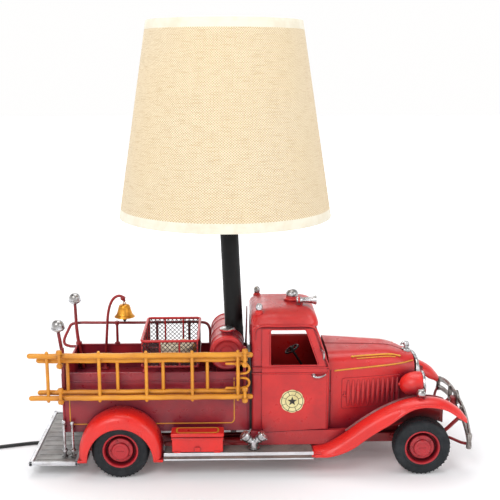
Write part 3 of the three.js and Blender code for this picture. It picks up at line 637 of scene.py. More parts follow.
def cord_path():
    """Centreline from the gland along the table, round the coil and up to the plug."""
    lead = curve_through([(-180.4, 12, 6.8), (-187, 12, 6.6), (-194, 12, 5.2), (-201, 12, 3.4),
        (-208, 11.9, 2.2), (-216, 11.5, 1.9), (-226, 10.2, 1.9), (-240, 6.6, 1.9), (-254, 2.6, 1.9),
        (-268, -1.2, 1.9), (-280, -3.3, 1.9), (-291, -4.4, 1.9), (-303, -4.6, 1.9)], 4)
    path = lead[:-1]
    per_turn = 36
    total = LAYERS * TURNS_A_LAYER
    rise = 0.25
    for i in range(round(total * per_turn) + 1):
        turn = i / per_turn
        layer = min(int(turn / TURNS_A_LAYER), LAYERS - 1)
        inward = layer % 2 == 0
        part = turn / TURNS_A_LAYER - layer
        radius = COIL_OUTER - (COIL_OUTER - COIL_INNER) * (part if inward else 1 - part)
        height = CORD_R + 0.1 + 2 * CORD_R * (layer + (ease((turn - layer * TURNS_A_LAYER) / rise) - 1 if layer else 0))
        angle = radians(-90) - tau * turn
        path.append(on_coil(radius, angle, height))
    start = radians(-90) - tau * total
    end = radians(-138) - tau * (floor(total) + 1)
    top = path[-1].z
    count = 34
    for i in range(1, count + 1):
        t = i / count
        angle = start + (end - start) * t
        radius = COIL_OUTER + 3.8 * ease(t / 0.3) + 0.5 * ease((t - 0.85) / 0.15)
        height = top + (6.0 - top) * ease((t - 0.12) / 0.6) + (1.9 - 6.0) * ease((t - 0.83) / 0.17)
        path.append(on_coil(radius, angle, height))
    tail = [path[-2], path[-1]] + [Vector((COIL_X + x, COIL_Y + y, z)) for x, y, z in ((-28.3, -16.8, 2.4),
        (-32.2, -11.8, 3.8), (-34.4, -7.0, 5.1), (-35, -3.2, 5.5), (-35, 0.6, 5.5))]
    path += curve_through(tail, 3)[4:]
    return path


def make_cord():
    path = cord_path()
    cord = tube("mains_cord", path, CORD_R, sides=12, round_ends=False)
    dress(cord, PVC, "cord_black", "cord_run", "cord_coil", "cord_tail")
    sleeve = [(4.6, 0), (5.2, 1.0), (5.2, 4.2), (4.4, 5.0)]
    for k in range(6):
        at = 6.4 + 3.4 * k
        wide = 4.2 - 0.36 * k
        sleeve += [(wide, at), (wide - 0.1, at + 1.9), (wide - 0.95, at + 2.2), (wide - 1.0, at + 3.1)]
    sleeve += [(2.05, 27.4), (1.85, 27.6)]
    gland = lathe("cord_strain_relief", [(0.5, -1.4), (4.6, -1.4)] + sleeve, (-163.4, 12, 6.8), "X", 32,
        turn=Matrix.Rotation(pi, 3, "Z"))
    bevel(gland, 0.2, 2)
    dress(gland, PVC, "black_plastic", "cord_gland")

    rings = []
    for y, half_w, half_h in ((18.2, 2.1, 2.1), (21, 3.0, 3.0), (23, 3.4, 3.3), (24, 4.6, 3.9),
            (30, 6.4, 4.5), (36, 8.6, 5.0), (43, 9.9, 5.3), (49.4, 9.9, 5.3), (51.0, 9.3, 4.9)):
        rings.append([(PLUG_X + half_w * copysign(abs(cos(a)) ** 0.6, cos(a)), y,
            5.5 + half_h * copysign(abs(sin(a)) ** 0.6, sin(a))) for a in round_angles(28)])
    body = loft("plug_body", rings)
    paint(PVC, body)
    grips = []
    for k in range(4):
        y = 32 + 3.6 * k
        for side in (-1, 1):
            x = PLUG_X + side * (9.2 + 0.35 * k - (3 - k) * 0.75)
            grips.append(block("grip", (x - 0.7, y, 2.6), (x + 0.7, y + 1.6, 8.4), 0.4))
    paint(PVC, *grips)
    pins = []
    for side in (-1, 1):
        x = PLUG_X + side * 6.35
        pins.append(block("pin", (x - 0.75, 50.6, 2.4), (x + 0.75, 67.4, 8.6), 0.35, 3))
    paint(BRIGHT_PIN, *pins)
    plug = join("mains_plug", [body] + grips + pins)
    dress(plug, None, "black_plastic", "cord_plug")


make_cord()


# ---- shade and lamp ---------------------------------------------------------------------------
LAMP_X = -24
SHADE_LOW, SHADE_HIGH = 242.7, 427.7
SHADE_R_LOW, SHADE_R_HIGH = 103.0, 73.9
SHADE_MEAN_R = 88.9
SHADE_STEPS = 144
SOCKET_Z = 250.9


def shade_radius(z):
    return SHADE_R_LOW + (SHADE_R_HIGH - SHADE_R_LOW) * (z - SHADE_LOW) / (SHADE_HIGH - SHADE_LOW)


def ring_round_lamp(radius, z, steps):
    return [(LAMP_X + radius * cos(a), radius * sin(a), z) for a in round_angles(steps)]


def mantle(name, gap):
    """One open skin of the shade's cone with UVs in metres along the threads."""
    rings = []
    low, high = SHADE_LOW + 0.6, SHADE_HIGH - 0.6
    for r in range(13):
        z = low + (high - low) * r / 12
        rings.append(ring_round_lamp(shade_radius(z) + gap, z, SHADE_STEPS))
    return unwrap_round(loft(name, rings, caps=False))


def unwrap_round(obj):
    """UVs in metres: round the shade's axis at its mean radius, and up."""
    mesh = obj.data
    layer = mesh.uv_layers.new(name="UVMap")
    for face in mesh.polygons:
        angles = []
        for index in face.loop_indices:
            at = mesh.vertices[mesh.loops[index].vertex_index].co
            angles.append(atan2(at.y, at.x - LAMP_X * MM))
        if max(angles) - min(angles) > pi:
            angles = [a + tau if a < 0 else a for a in angles]
        for index, angle in zip(face.loop_indices, angles):
            at = mesh.vertices[mesh.loops[index].vertex_index].co
            layer.data[index].uv = (angle * SHADE_MEAN_R * MM, at.z)
    return obj


def make_shade():
    cloth = mantle("shade_cloth", -0.15)
    dress(cloth, LINEN, "shade_cloth", "shade")
    liner = mantle("shade_liner", -1.0)
    dress(liner, LINER, "shade_cloth")
    for name, z0, z1, up in (("shade_trim_bottom", SHADE_LOW, SHADE_LOW + 9.2, 1),
            ("shade_trim_top", SHADE_HIGH, SHADE_HIGH - 8.6, -1)):
        profile = [(0.32, 9.0), (0.5, 8.6), (0.5, 1.2), (0.3, 0.3), (-0.5, 0.0), (-1.5, 0.4), (-1.6, 1.2),
            (-1.6, 6.0), (-1.25, 6.4)]
        rings = []
        for out, along in profile:
            z = z0 + up * along * (abs(z1 - z0) / 9.0)
            z = min(max(z, SHADE_LOW), SHADE_HIGH)
            rings.append(ring_round_lamp(shade_radius(z) + out - 0.5, z, SHADE_STEPS))
        trim = unwrap_round(loft(name, rings, caps=False))
        dress(trim, RIBBON, "shade_cloth")
    seam = radians(128)
    rows = []
    for k in range(13):
        z = SHADE_LOW + 9 + (SHADE_HIGH - SHADE_LOW - 17.6) * k / 12
        rows.append([(LAMP_X + (shade_radius(z) + gap) * cos(seam + turn / shade_radius(z)),
            (shade_radius(z) + gap) * sin(seam + turn / shade_radius(z)), z) for turn, gap in ((-4.6, -0.2),
            (-4.5, 0.2), (0, 0.3), (4.4, 0.3), (4.5, -0.2))])
    lap = dress(unwrap_round(loft("shade_seam", rows, closed=False)), LINEN, "shade_cloth")


def make_lamp():
    lean = Matrix.Rotation(radians(-2.6), 3, "Y")
    top = Vector((-21.6, 0, SOCKET_Z - 0.4))
    base = top - lean @ Vector((0, 0, 178))
    profile = [(0.2, 0), (8.6, 0), (9, 0.5), (9, 176.5), (8.5, 177.4), (3, 177.6)]
    pole = lathe("lamp_pole_tube", profile, base, steps=56, turn=lean)
    collar = lathe("pole_collar", [(9.05, 0), (12.4, 0), (13, 0.7), (12.6, 1.9), (10.2, 2.6), (9.6, 4.4),
        (9.05, 4.6)], base + lean @ Vector((0, 0, 0.4)), steps=48, turn=lean)
    bevel(collar, 0.2)
    coupling = lathe("pole_coupling", [(9, -6), (11.6, -5.6), (12, -4.8), (12, -0.6), (11.4, 0.1), (3, 0.2)],
        (LAMP_X + 1.2, 0, SOCKET_Z), steps=40)
    ridges = [(4.7 - 0.35 * (k % 2), -14.6 + 0.7 * k) for k in range(22)]
    thread = lathe("pole_thread", [(3.2, -15), (4.2, -15), *ridges, (4.7, 1)], base, steps=32, turn=lean)
    paint(BLACK, pole, collar, coupling, thread)
    unite("lamp_pole_black", [pole, collar, coupling, thread], None, "black_paint", "lamp_pole")

    at = (LAMP_X, 0, SOCKET_Z)
    cap = lathe("socket_cap_brass", [(0.3, 0), (7.6, 0), (8.2, 0.8), (8.6, 2.2), (11.8, 4.6), (14.4, 8.6),
        (15.4, 11.6), (15.6, 13.6), (15.0, 14.2), (9, 14.4), (0.3, 14.4)], at, steps=48)
    dress(bevel(cap, 0.25), LAMP_BRASS, "lamp_brass", "socket_cap")
    shell = lathe("socket_shell_brass", [(16.0, 18.4), (16.6, 19), (16.6, 22.4), (16.2, 22.9), (16.2, 24.2),
        (16.6, 24.7), (16.6, 49), (17.2, 50.5), (17.2, 52), (16.4, 53.2), (16.4, 57.4), (16.0, 58),
        (14.4, 58), (14.2, 57.4), (14.2, 30), (0.4, 30), (0.4, 19.2), (10, 18.6)], at, steps=56)
    dress(shell, LAMP_BRASS, "lamp_brass", "socket_shell")
    knob_at = (LAMP_X, 0, SOCKET_Z + 34)
    stem = lathe("key_stem", [(1.4, 16.9), (1.7, 17.2), (1.7, 24.0), (1.2, 24.4)], knob_at, "X", 20)
    paddle = slab("key_paddle", rounded(23.2 + LAMP_X, 31.0 + LAMP_X, -4.6, 4.6, 2.6), SOCKET_Z + 32.7,
        SOCKET_Z + 35.3, edge=0.8, segments=3)
    unite("switch_key", [stem, paddle], BLACK_PAINT, "black_plastic", "switch_knob", body="switch_knob")
    envelope = lathe("bulb_glass", [(0.3, 27), (12.4, 27.4), (12.8, 30), (13, 57), (13.6, 60), (16.4, 66),
        (21.2, 74.5), (26, 83), (29, 92), (30, 100), (29.2, 108.5), (26.4, 116), (21.6, 122.6), (15.4, 127.2),
        (8, 129.6), (0.3, 130)], at, steps=64, sharp=60)
    dress(envelope, BULB, "bulb_glass", "bulb")
    bow = curve_through([(LAMP_X, s * y, SOCKET_Z + z) for s, y, z in ((-1, 16.0, 15.9), (-1, 24, 16.4),
        (-1, 32, 20), (-1, 39, 34), (-1, 42, 62), (-1, 41.4, 92), (-1, 36, 120), (-1, 24, 144),
        (-1, 11, 155.4), (1, 0, 157.6), (1, 11, 155.4), (1, 24, 144), (1, 36, 120), (1, 41.4, 92),
        (1, 42, 62), (1, 39, 34), (1, 32, 20), (1, 24, 16.4), (1, 16.0, 15.9))], 5)
    wire = tube("harp_bow", bow, 1.15, 10)
    feet = [lathe("harp_sleeve", [(1.2, 0), (2.2, 0.3), (2.2, 8.6), (1.2, 9)],
        (LAMP_X, side * 39.6, SOCKET_Z + 36), steps=20) for side in (-1, 1)]
    saddle = lathe("harp_saddle", [(8.4, 14.8), (16.6, 14.8), (17, 15.4), (17, 17.4), (16.4, 17.9),
        (8.4, 17.9)], at, steps=48)
    stud = lathe("harp_stud", [(0.2, 155.6), (4, 155.8), (4.2, 157), (4.2, 159.2), (2.3, 159.6), (2.3, 170.5),
        (0.2, 171)], at, steps=24)
    unite("harp_brass", [wire, *feet, bevel(saddle, 0.2), stud], LAMP_BRASS, "lamp_brass", "harp")
    knob = lathe("finial_brass", [(2.6, 162.2), (6.2, 162.2), (6.6, 162.8), (6.3, 164), (4.4, 165.2),
        (3.4, 166.2), (3.9, 167), (5.4, 168.6), (5.7, 170.2), (4.8, 172), (2.6, 173.3), (0.2, 173.6)], at,
        steps=40)
    dress(bevel(knob, 0.15), LAMP_BRASS, "lamp_brass", "finial")


def make_shade_wires():
    """The spider that hangs the shade on the harp, and the ring in its lower edge."""
    top, radius = SHADE_HIGH - 1.5, SHADE_R_HIGH - 1.9
    hub = (LAMP_X, 0, SOCKET_Z + 159.9)
    parts = [tube("top_ring", ring_round_lamp(radius, top, 72), 1.1, 8, closed=True),
        lathe("spider_hub", [(3.1, 0), (6.6, 0), (7, 0.4), (7, 1.8), (6.6, 2.2), (3.1, 2.2)], hub, steps=32)]
    for k in range(3):
        a = radians(90 + 120 * k)
        spoke = [(LAMP_X + r * cos(a), r * sin(a), z) for r, z in ((radius, top), (radius * 0.86, top - 0.6),
            (radius * 0.5, top - 4), (16, hub[2] + 3), (6.4, hub[2] + 1.1))]
        parts.append(tube("spoke", curve_through(spoke, 5), 1.0, 8))
    unite("shade_spider_wire", parts, WIRE, "shade_wire", "shade_spider")
    low_ring = ring_round_lamp(SHADE_R_LOW - 2, SHADE_LOW + 1.5, 72)
    ring = tube("shade_ring_wire", low_ring, 1.1, 8, closed=True)
    dress(ring, WIRE, "shade_wire", "shade_bottom_ring")


make_shade()
make_shade_wires()
make_lamp()


# ---- truck: wheels ----------------------------------------------------------------------------
TYRE_R, TYRE_SIDES = 27.5, 28  # the CAD tyre is a polygon and stands on one of its flats
AXLE_Z = TYRE_R * cos(pi / TYRE_SIDES)
FRONT_AXLE_X, REAR_AXLE_X = 163.5, -125
WHEELS = {"front_right": (FRONT_AXLE_X, -1), "front_left": (FRONT_AXLE_X, 1), "rear_right": (REAR_AXLE_X, -1),
    "rear_left": (REAR_AXLE_X, 1)}
WHEEL_Y = 61.5


def make_wheel(name, x, side):
    at = (x, side * WHEEL_Y, AXLE_Z)
    outward = Matrix.Identity(3) if side > 0 else Matrix.Rotation(pi, 3, "Z")
    bead = [(16.4, -6.8), (16.4, 6.8), (17.2, 7.6), (18.3, 8.0), (19.2, 7.5), (20.4, 7.6), (22.4, 8.2),
        (24.0, 8.35), (25.3, 8.0), (26.2, 7.0), (26.9, 5.6)]
    tread = [(27.35, 4.7), (27.4, 3.5), (26.7, 3.3), (26.7, 2.9), (27.45, 2.7), (27.45, 1.1), (26.7, 0.9),
        (26.7, -0.9), (27.45, -1.1), (27.45, -2.7), (26.7, -2.9), (26.7, -3.3), (27.4, -3.5), (27.35, -4.7)]
    back = [(r, -h) for r, h in reversed(bead[2:])]
    tyre = lathe(f"tyre_skin_{name}", bead + tread + back, at, "Y", 96, 40, closed=True, turn=outward)
    corners = [(-0.9, -1.1, -0.62), (0.42, -1.0, -0.5), (0.42, 0.9, -0.5), (-0.4, 1.5, -0.62)]
    points, faces = [], []
    for angle in round_angles(40):
        turn = Matrix.Rotation(angle, 3, "Y")
        for tilt in (-1, 1):
            b = len(points)
            points += [outward @ (turn @ (Vector((26.75, 5.6 * tilt, 0)) + Vector((u, v * tilt,
                w * s)))) + Vector(at) for s in (1, -1) for u, v, w in corners]
            faces += [(b, b + 1, b + 2, b + 3), (b + 7, b + 6, b + 5, b + 4), (b, b + 4, b + 5, b + 1),
                (b + 1, b + 5, b + 6, b + 2), (b + 2, b + 6, b + 7, b + 3), (b + 3, b + 7, b + 4, b)]
    shoulder = piece("tread_blocks", points, faces)
    unite(f"tyre_rubber_{name}", [tyre, shoulder], RUBBER, "tyre", f"tyre_{name}", body=f"wheel_{name}")

    rim = lathe(f"rim_dish_{name}", [(16, -6.6), (16, 5.4), (16.9, 6.6), (17.1, 7.2), (16.7, 7.7),
        (15.8, 7.6), (15.1, 6.8), (14.6, 5.4), (14.4, 1.6), (13.7, 0.8), (12.8, 1.0), (12.3, 2.0),
        (12.1, 4.6), (11.4, 5.5), (9.0, 5.8), (8.4, 6.3), (8.1, 7.9), (7.5, 8.5), (6.0, 8.7), (5.6, 8.3),
        (0.2, 8.5)], at, "Y", 72, 34, turn=outward)
    inner = lathe("rim_back", [(16, -6.6), (15.3, -6.6), (14.6, -5.4), (13.6, -1.2), (4.2, -1.2), (4.2, -7.4),
        (3.2, -7.6)], at, "Y", 48, turn=outward)
    cap_marks = []
    for k in range(5):
        angle = tau * k / 5
        place = Vector(at) + outward @ Vector((10.2 * cos(angle), 5.7, 10.2 * sin(angle)))
        cap_marks.append(lathe("lug", [(0.9, -0.4), (0.9, 0.35), (0.6, 0.6), (0.1, 0.65)], place, "Y", 12,
            turn=outward))
    ridge = block("cap_mark", (-3.2, 8.3, -0.5), (3.2, 8.9, 0.5), 0.2)
    ridge.data.transform(Matrix.Translation(Vector(at) * MM) @ outward.to_4x4())
    unite(f"rim_red_{name}", [bevel(rim, 0.15), inner, *cap_marks, ridge], RIM_RED, "red_paint",
        f"rim_{name}", body=f"wheel_{name}")


for wheel_name, (wheel_x, wheel_side) in WHEELS.items():
    make_wheel(wheel_name, wheel_x, wheel_side)


# ---- truck: fenders and running boards --------------------------------------------------------
def make_front_fenders():
    crown = curve_through([(59, 0, 24.5), (72, 0, 27), (88, 0, 36), (106, 0, 49.5), (126, 0, 62),
        (146, 0, 70.5), (165, 0, 74), (184, 0, 71.5), (198, 0, 63.5), (207, 0, 53)], 5)
    rings = []
    count = len(crown)
    for i, at in enumerate(crown):
        ahead = crown[min(i + 1, count - 1)]
        behind = crown[max(i - 1, 0)]
        along = (ahead - behind).normalized()
        up = Vector((-along.z, 0, along.x))
        t = i / (count - 1)
        tip = ease((t - 0.9) / 0.1)
        foot = ease((0.26 - t) / 0.26)
        skirt = 9.5 - 6.4 * ease((t - 0.42) / 0.2) - 0.6 * tip - 6.5 * foot
        section = [(-46.8, -9), (-47.2, -6.5), (-49.5, -3.2), (-53, -1), (-57, 0), (-61, 0.2), (-65, -0.5),
            (-68, -2.2), (-69.8, -4.4), (-70.7, -skirt * 0.82 - 1.0), (-70.9, -skirt - 0.2),
            (-71.3, -skirt - 0.5), (-71.2, -skirt - 1.3), (-70.5, -skirt - 1.3)]
        narrow = 1 - 0.28 * tip
        middle_y = -58.5
        rings.append([at + up * (rise * (1 - 0.5 * tip)) + Vector((0, middle_y + (y - middle_y) * narrow, 0))
            for y, rise in section])
    skin = loft("front_fender", rings, closed=False, sharp=50)
    thicken(skin, 0.9, 1.0)
    subdivide(skin)
    pan = block("fender_foot", (57.2, -70.4, 19.4), (66, -47, 24.2), 0.6)
    rows = []
    for at in crown[6:-9]:
        rows.append([at + Vector((0, -47.2, -0.8)), Vector((at.x, -47.2, max(at.z - 26, 27)))])
    apron = loft("fender_apron", rows, closed=False)
    thicken(apron, 0.8, 0)
    paint(RED, skin, pan)
    paint(DARK_RED, apron)
    dress_pair("front_fender_red", "front_fender", [skin, apron, pan], "red_paint")
    for name, side in (("right", -1), ("left", 1)):
        stem = lathe("marker_foot", [(3.4, 73.2), (3.6, 74.6), (2.2, 75.2), (1.5, 76.2)],
            (162, side * 60.5, 0), steps=24)
        paint(RED, stem)
        lamp = lathe("marker_lamp", [(0.1, -4.6), (2.4, -4.2), (3.9, -2.6), (4.3, 0), (4.4, 2.2), (4.0, 2.9),
            (3.4, 2.9), (3.1, 2.4), (0.1, 3.4)], (162.5, side * 60.5, 79.4), "X", 32)
        paint(CHROME, lamp)
        unite(f"fender_lamp_{name}", [stem, lamp], None, "chrome")


def make_rear_fenders():
    centre_x, base_z = REAR_AXLE_X, 25
    rings = []
    steps = 40
    for i in range(steps + 1):
        a = pi * i / steps
        c, s = cos(a), sin(a)
        outer = Vector((centre_x + 39 * c, 0, base_z + 39 * s if s > 0 else base_z))
        arch = Vector((centre_x + 32.5 * c, 0, 18 + 34.5 * s))
        if i in (0, steps):
            outer.z, arch.z = 19, 19
        section = [(0, -47.6), (0, -62), (0.02, -65.5), (0.1, -68.6), (0.28, -71.2), (0.5, -72.6),
            (0.74, -73.2), (0.93, -73.3), (1.0, -73.9), (1.06, -73.7), (1.05, -72.6), (0.9, -72.0)]
        rings.append([outer.lerp(arch, t) + Vector((0, y, 0)) for t, y in section])
    skin = loft("rear_fender", rings, closed=False, sharp=50)
    thicken(skin, 0.9, 1.0)
    subdivide(skin)
    disc = [(centre_x + 38.2 * cos(pi * i / 24), base_z - 6 + 46 * sin(pi * i / 24)) for i in range(25)]
    well = slab("wheel_well", disc, -48.4, -47.6, "XZ", 0.2)
    step_f = block("fender_foot_front", (-93.5, -73.4, 17.4), (-84.6, -50, 19.8), 0.5)
    step_b = block("fender_foot_back", (-165.4, -73.4, 17.4), (-156.5, -50, 19.8), 0.5)
    paint(RED, skin, well, step_f, step_b)
    dress_pair("rear_fender_red", "rear_fender", [skin, well, step_f, step_b], "red_paint")


def make_running_boards():
    plate = block("board", (-83.6, -70, 17.8), (58.6, -50.8, 24.6), 0.9, 3)
    ribs = []
    for k in range(8):
        y = -53.4 - 1.95 * k
        ribs.append(block("rib", (-82.6, y - 0.55, 24.3), (57.6, y + 0.55, 25.3), 0.3))
    lips = [block("lip", (-83.9, -70.9, 22.2), (58.9, -69.7, 25.5), 0.4), block("lip", (-83.9, -70.7, 17.7),
        (58.9, -69.8, 19.2), 0.4)]
    paint(BOARD, plate, *ribs)
    paint(TIN, *lips)
    dress_pair("running_board_tin", "running_board", [plate, *ribs, *lips], "aged_tin")


make_front_fenders()
make_rear_fenders()
make_running_boards()


# ---- truck: hose bed and tailboard ------------------------------------------------------------
def wire(name, points, radius, per_span=5, sides=10):
    """A round wire along a smooth curve through the points."""
    return tube(name, curve_through(points, per_span), radius, sides)


def painted_line(name, points, width, y, closed=False):
    """A thin raised paint line on a face that looks along Y."""
    line = tube(name, points, width / 2, 8, closed)
    for v in line.data.vertices:
        v.co.y = y * MM + (v.co.y - y * MM) * 0.3
    return line


def cut(obj, *cutters):
    """Takes solids away from a solid."""
    for cutter in cutters:
        mod = obj.modifiers.new("cut", "BOOLEAN")
        mod.operation = "DIFFERENCE"
        mod.object = cutter
    bpy.context.view_layer.update()
    settle(obj)
    for cutter in cutters:
        mesh = cutter.data
        bpy.data.objects.remove(cutter)
        bpy.data.meshes.remove(mesh)
    smooth(obj.data)
    return obj


BED_BACK, BED_FRONT, BED_HALF, BED_LOW, BED_TOP, BED_FLOOR = -182, -1.6, 47, 38, 98, 72


def make_bed():
    parts = [block("side", (BED_BACK, s * BED_HALF - (1.5 if s > 0 else 0), BED_LOW),
        (BED_FRONT, s * BED_HALF + (1.5 if s < 0 else 0), BED_TOP - 0.6), 0.4) for s in (-1, 1)]
    parts += [block("end", (x, -BED_HALF + 0.3, BED_LOW), (x + 1.5, BED_HALF - 0.3, BED_TOP - 0.6), 0.4)
        for x in (BED_BACK, BED_FRONT - 1.5)]
    parts.append(block("floor", (BED_BACK + 0.6, -BED_HALF + 0.6, BED_FLOOR - 1.5),
        (BED_FRONT - 0.6, BED_HALF - 0.6, BED_FLOOR), 0.2))
    rim = [(x, y, BED_TOP - 1.1) for x, y in rounded(BED_BACK + 1, BED_FRONT - 1, 1 - BED_HALF, BED_HALF - 1, 2.4, 4)]
    parts.append(tube("rolled_edge", rim, 1.1, 10, closed=True))
    low = [(x, y, BED_LOW + 0.9) for x, y in rounded(BED_BACK + 0.9, BED_FRONT - 0.9, 0.9 - BED_HALF,
        BED_HALF - 0.9, 2, 4)]
    parts.append(tube("lower_edge", low, 0.9, 8, closed=True))
    for s in (-1, 1):
        y = s * (BED_HALF + 0.05)
        parts.append(tube("swage", [(x, y, 89.4) for x in range(BED_BACK + 3, -4, 6)], 0.7, 8))
        for x in (BED_BACK + 1.4, BED_FRONT - 1.6):
            parts.append(tube("corner_bead", [(x, y, z) for z in (BED_LOW + 2, 58, 78, BED_TOP - 3)], 0.8, 8))
    unite("hose_bed", parts, BED_RED, "red_paint", "hose_body")
    # A black strip filling the gap between bed and cab: painted shadow of that gap.
    gap = block("cab_gap_shadow_strip", (BED_FRONT - 0.6, -45, 38.5), (1, 45, 96), 0.2)
    dress(gap, BLACK_PAINT, "dark_red_paint")
    lines = []
    for s in (-1, 1):
        y = s * (BED_HALF + 0.15)
        path = [(-175, y, 92), (-175, y, 50)] + [(-171 - 4 * cos(a), y, 50 - 4 * sin(a))
            for a in (pi / 8, pi / 4, 3 * pi / 8)] + [(-171, y, 46), (-20.5, y, 46)]
        path += [(-20.5 + 4 * sin(a), y, 50 - 4 * cos(a)) for a in (pi / 8, pi / 4, 3 * pi / 8)]
        path += [(-16.5, y, 50), (-16.5, y, 92)]
        lines.append(painted_line("bed_line", path, 1.15, y))
    unite("bed_pinstripes", lines, GOLD, "yellow_paint")
    spike = wire("bed_spike", [(-4.2, 0, 97), (-4.2, 0, 112), (-3.6, 0, 130), (-3.2, 0, 150)],
        lambda t: 1.3 - 0.7 * t, 4)
    dress(spike, DARK_RED, "dark_red_paint")

    step = [block("plate", (-212.6, -65.6, 11.7), (-166.4, 65.6, 13.6), 0.4)]
    for low, high in (((-213, -66, 11.5), (-209.4, 66, 15.2)), ((-169.4, -66, 11.5), (-166, 66, 15.2)),
            ((-213, -66, 11.5), (-166, -62.6, 15.2)), ((-213, 62.6, 11.5), (-166, 66, 15.2))):
        step.append(block("border", low, high, 0.7, 3))
    for k in range(11):
        y = -55 + 11 * k
        step.append(block("tread", (-207, y - 0.6, 13.3), (-171, y + 0.6, 14.0), 0.3))
    for k, obj in enumerate(step):
        paint(TIN if 0 < k < 5 else PLATE, obj)
    unite("tailboard_tin", step, None, "aged_tin", "rear_step")
    bars = []
    for x, top in ((-180.5, 52), (-172.5, 51)):
        for s in (-1, 1):
            y = s * 52
            bars.append(lathe("grab_bar", [(0.1, 15.2), (3.0, 15.2), (3.0, 16.2), (1.7, 16.8), (1.7, 20.5),
                (2.8, 21), (2.8, 22.6), (1.35, 23.4), (1.35, top - 4), (1.9, top - 3.4), (2.2, top - 1.2),
                (1.5, top), (0.1, top)], (x, y, 0), steps=24))
            bars.append(tube("stay", [(x, y, 44), (x + 0.6, s * 49.6, 44), (x + 1, s * 47.2, 44)], 0.8, 8))
    unite("grab_bars", bars, CHROME, "chrome")


# ---- truck: cab -------------------------------------------------------------------------------
SCREEN_SLOPE = 14.5 / 42.4
BADGE_X, BADGE_Z = 39.4, 69


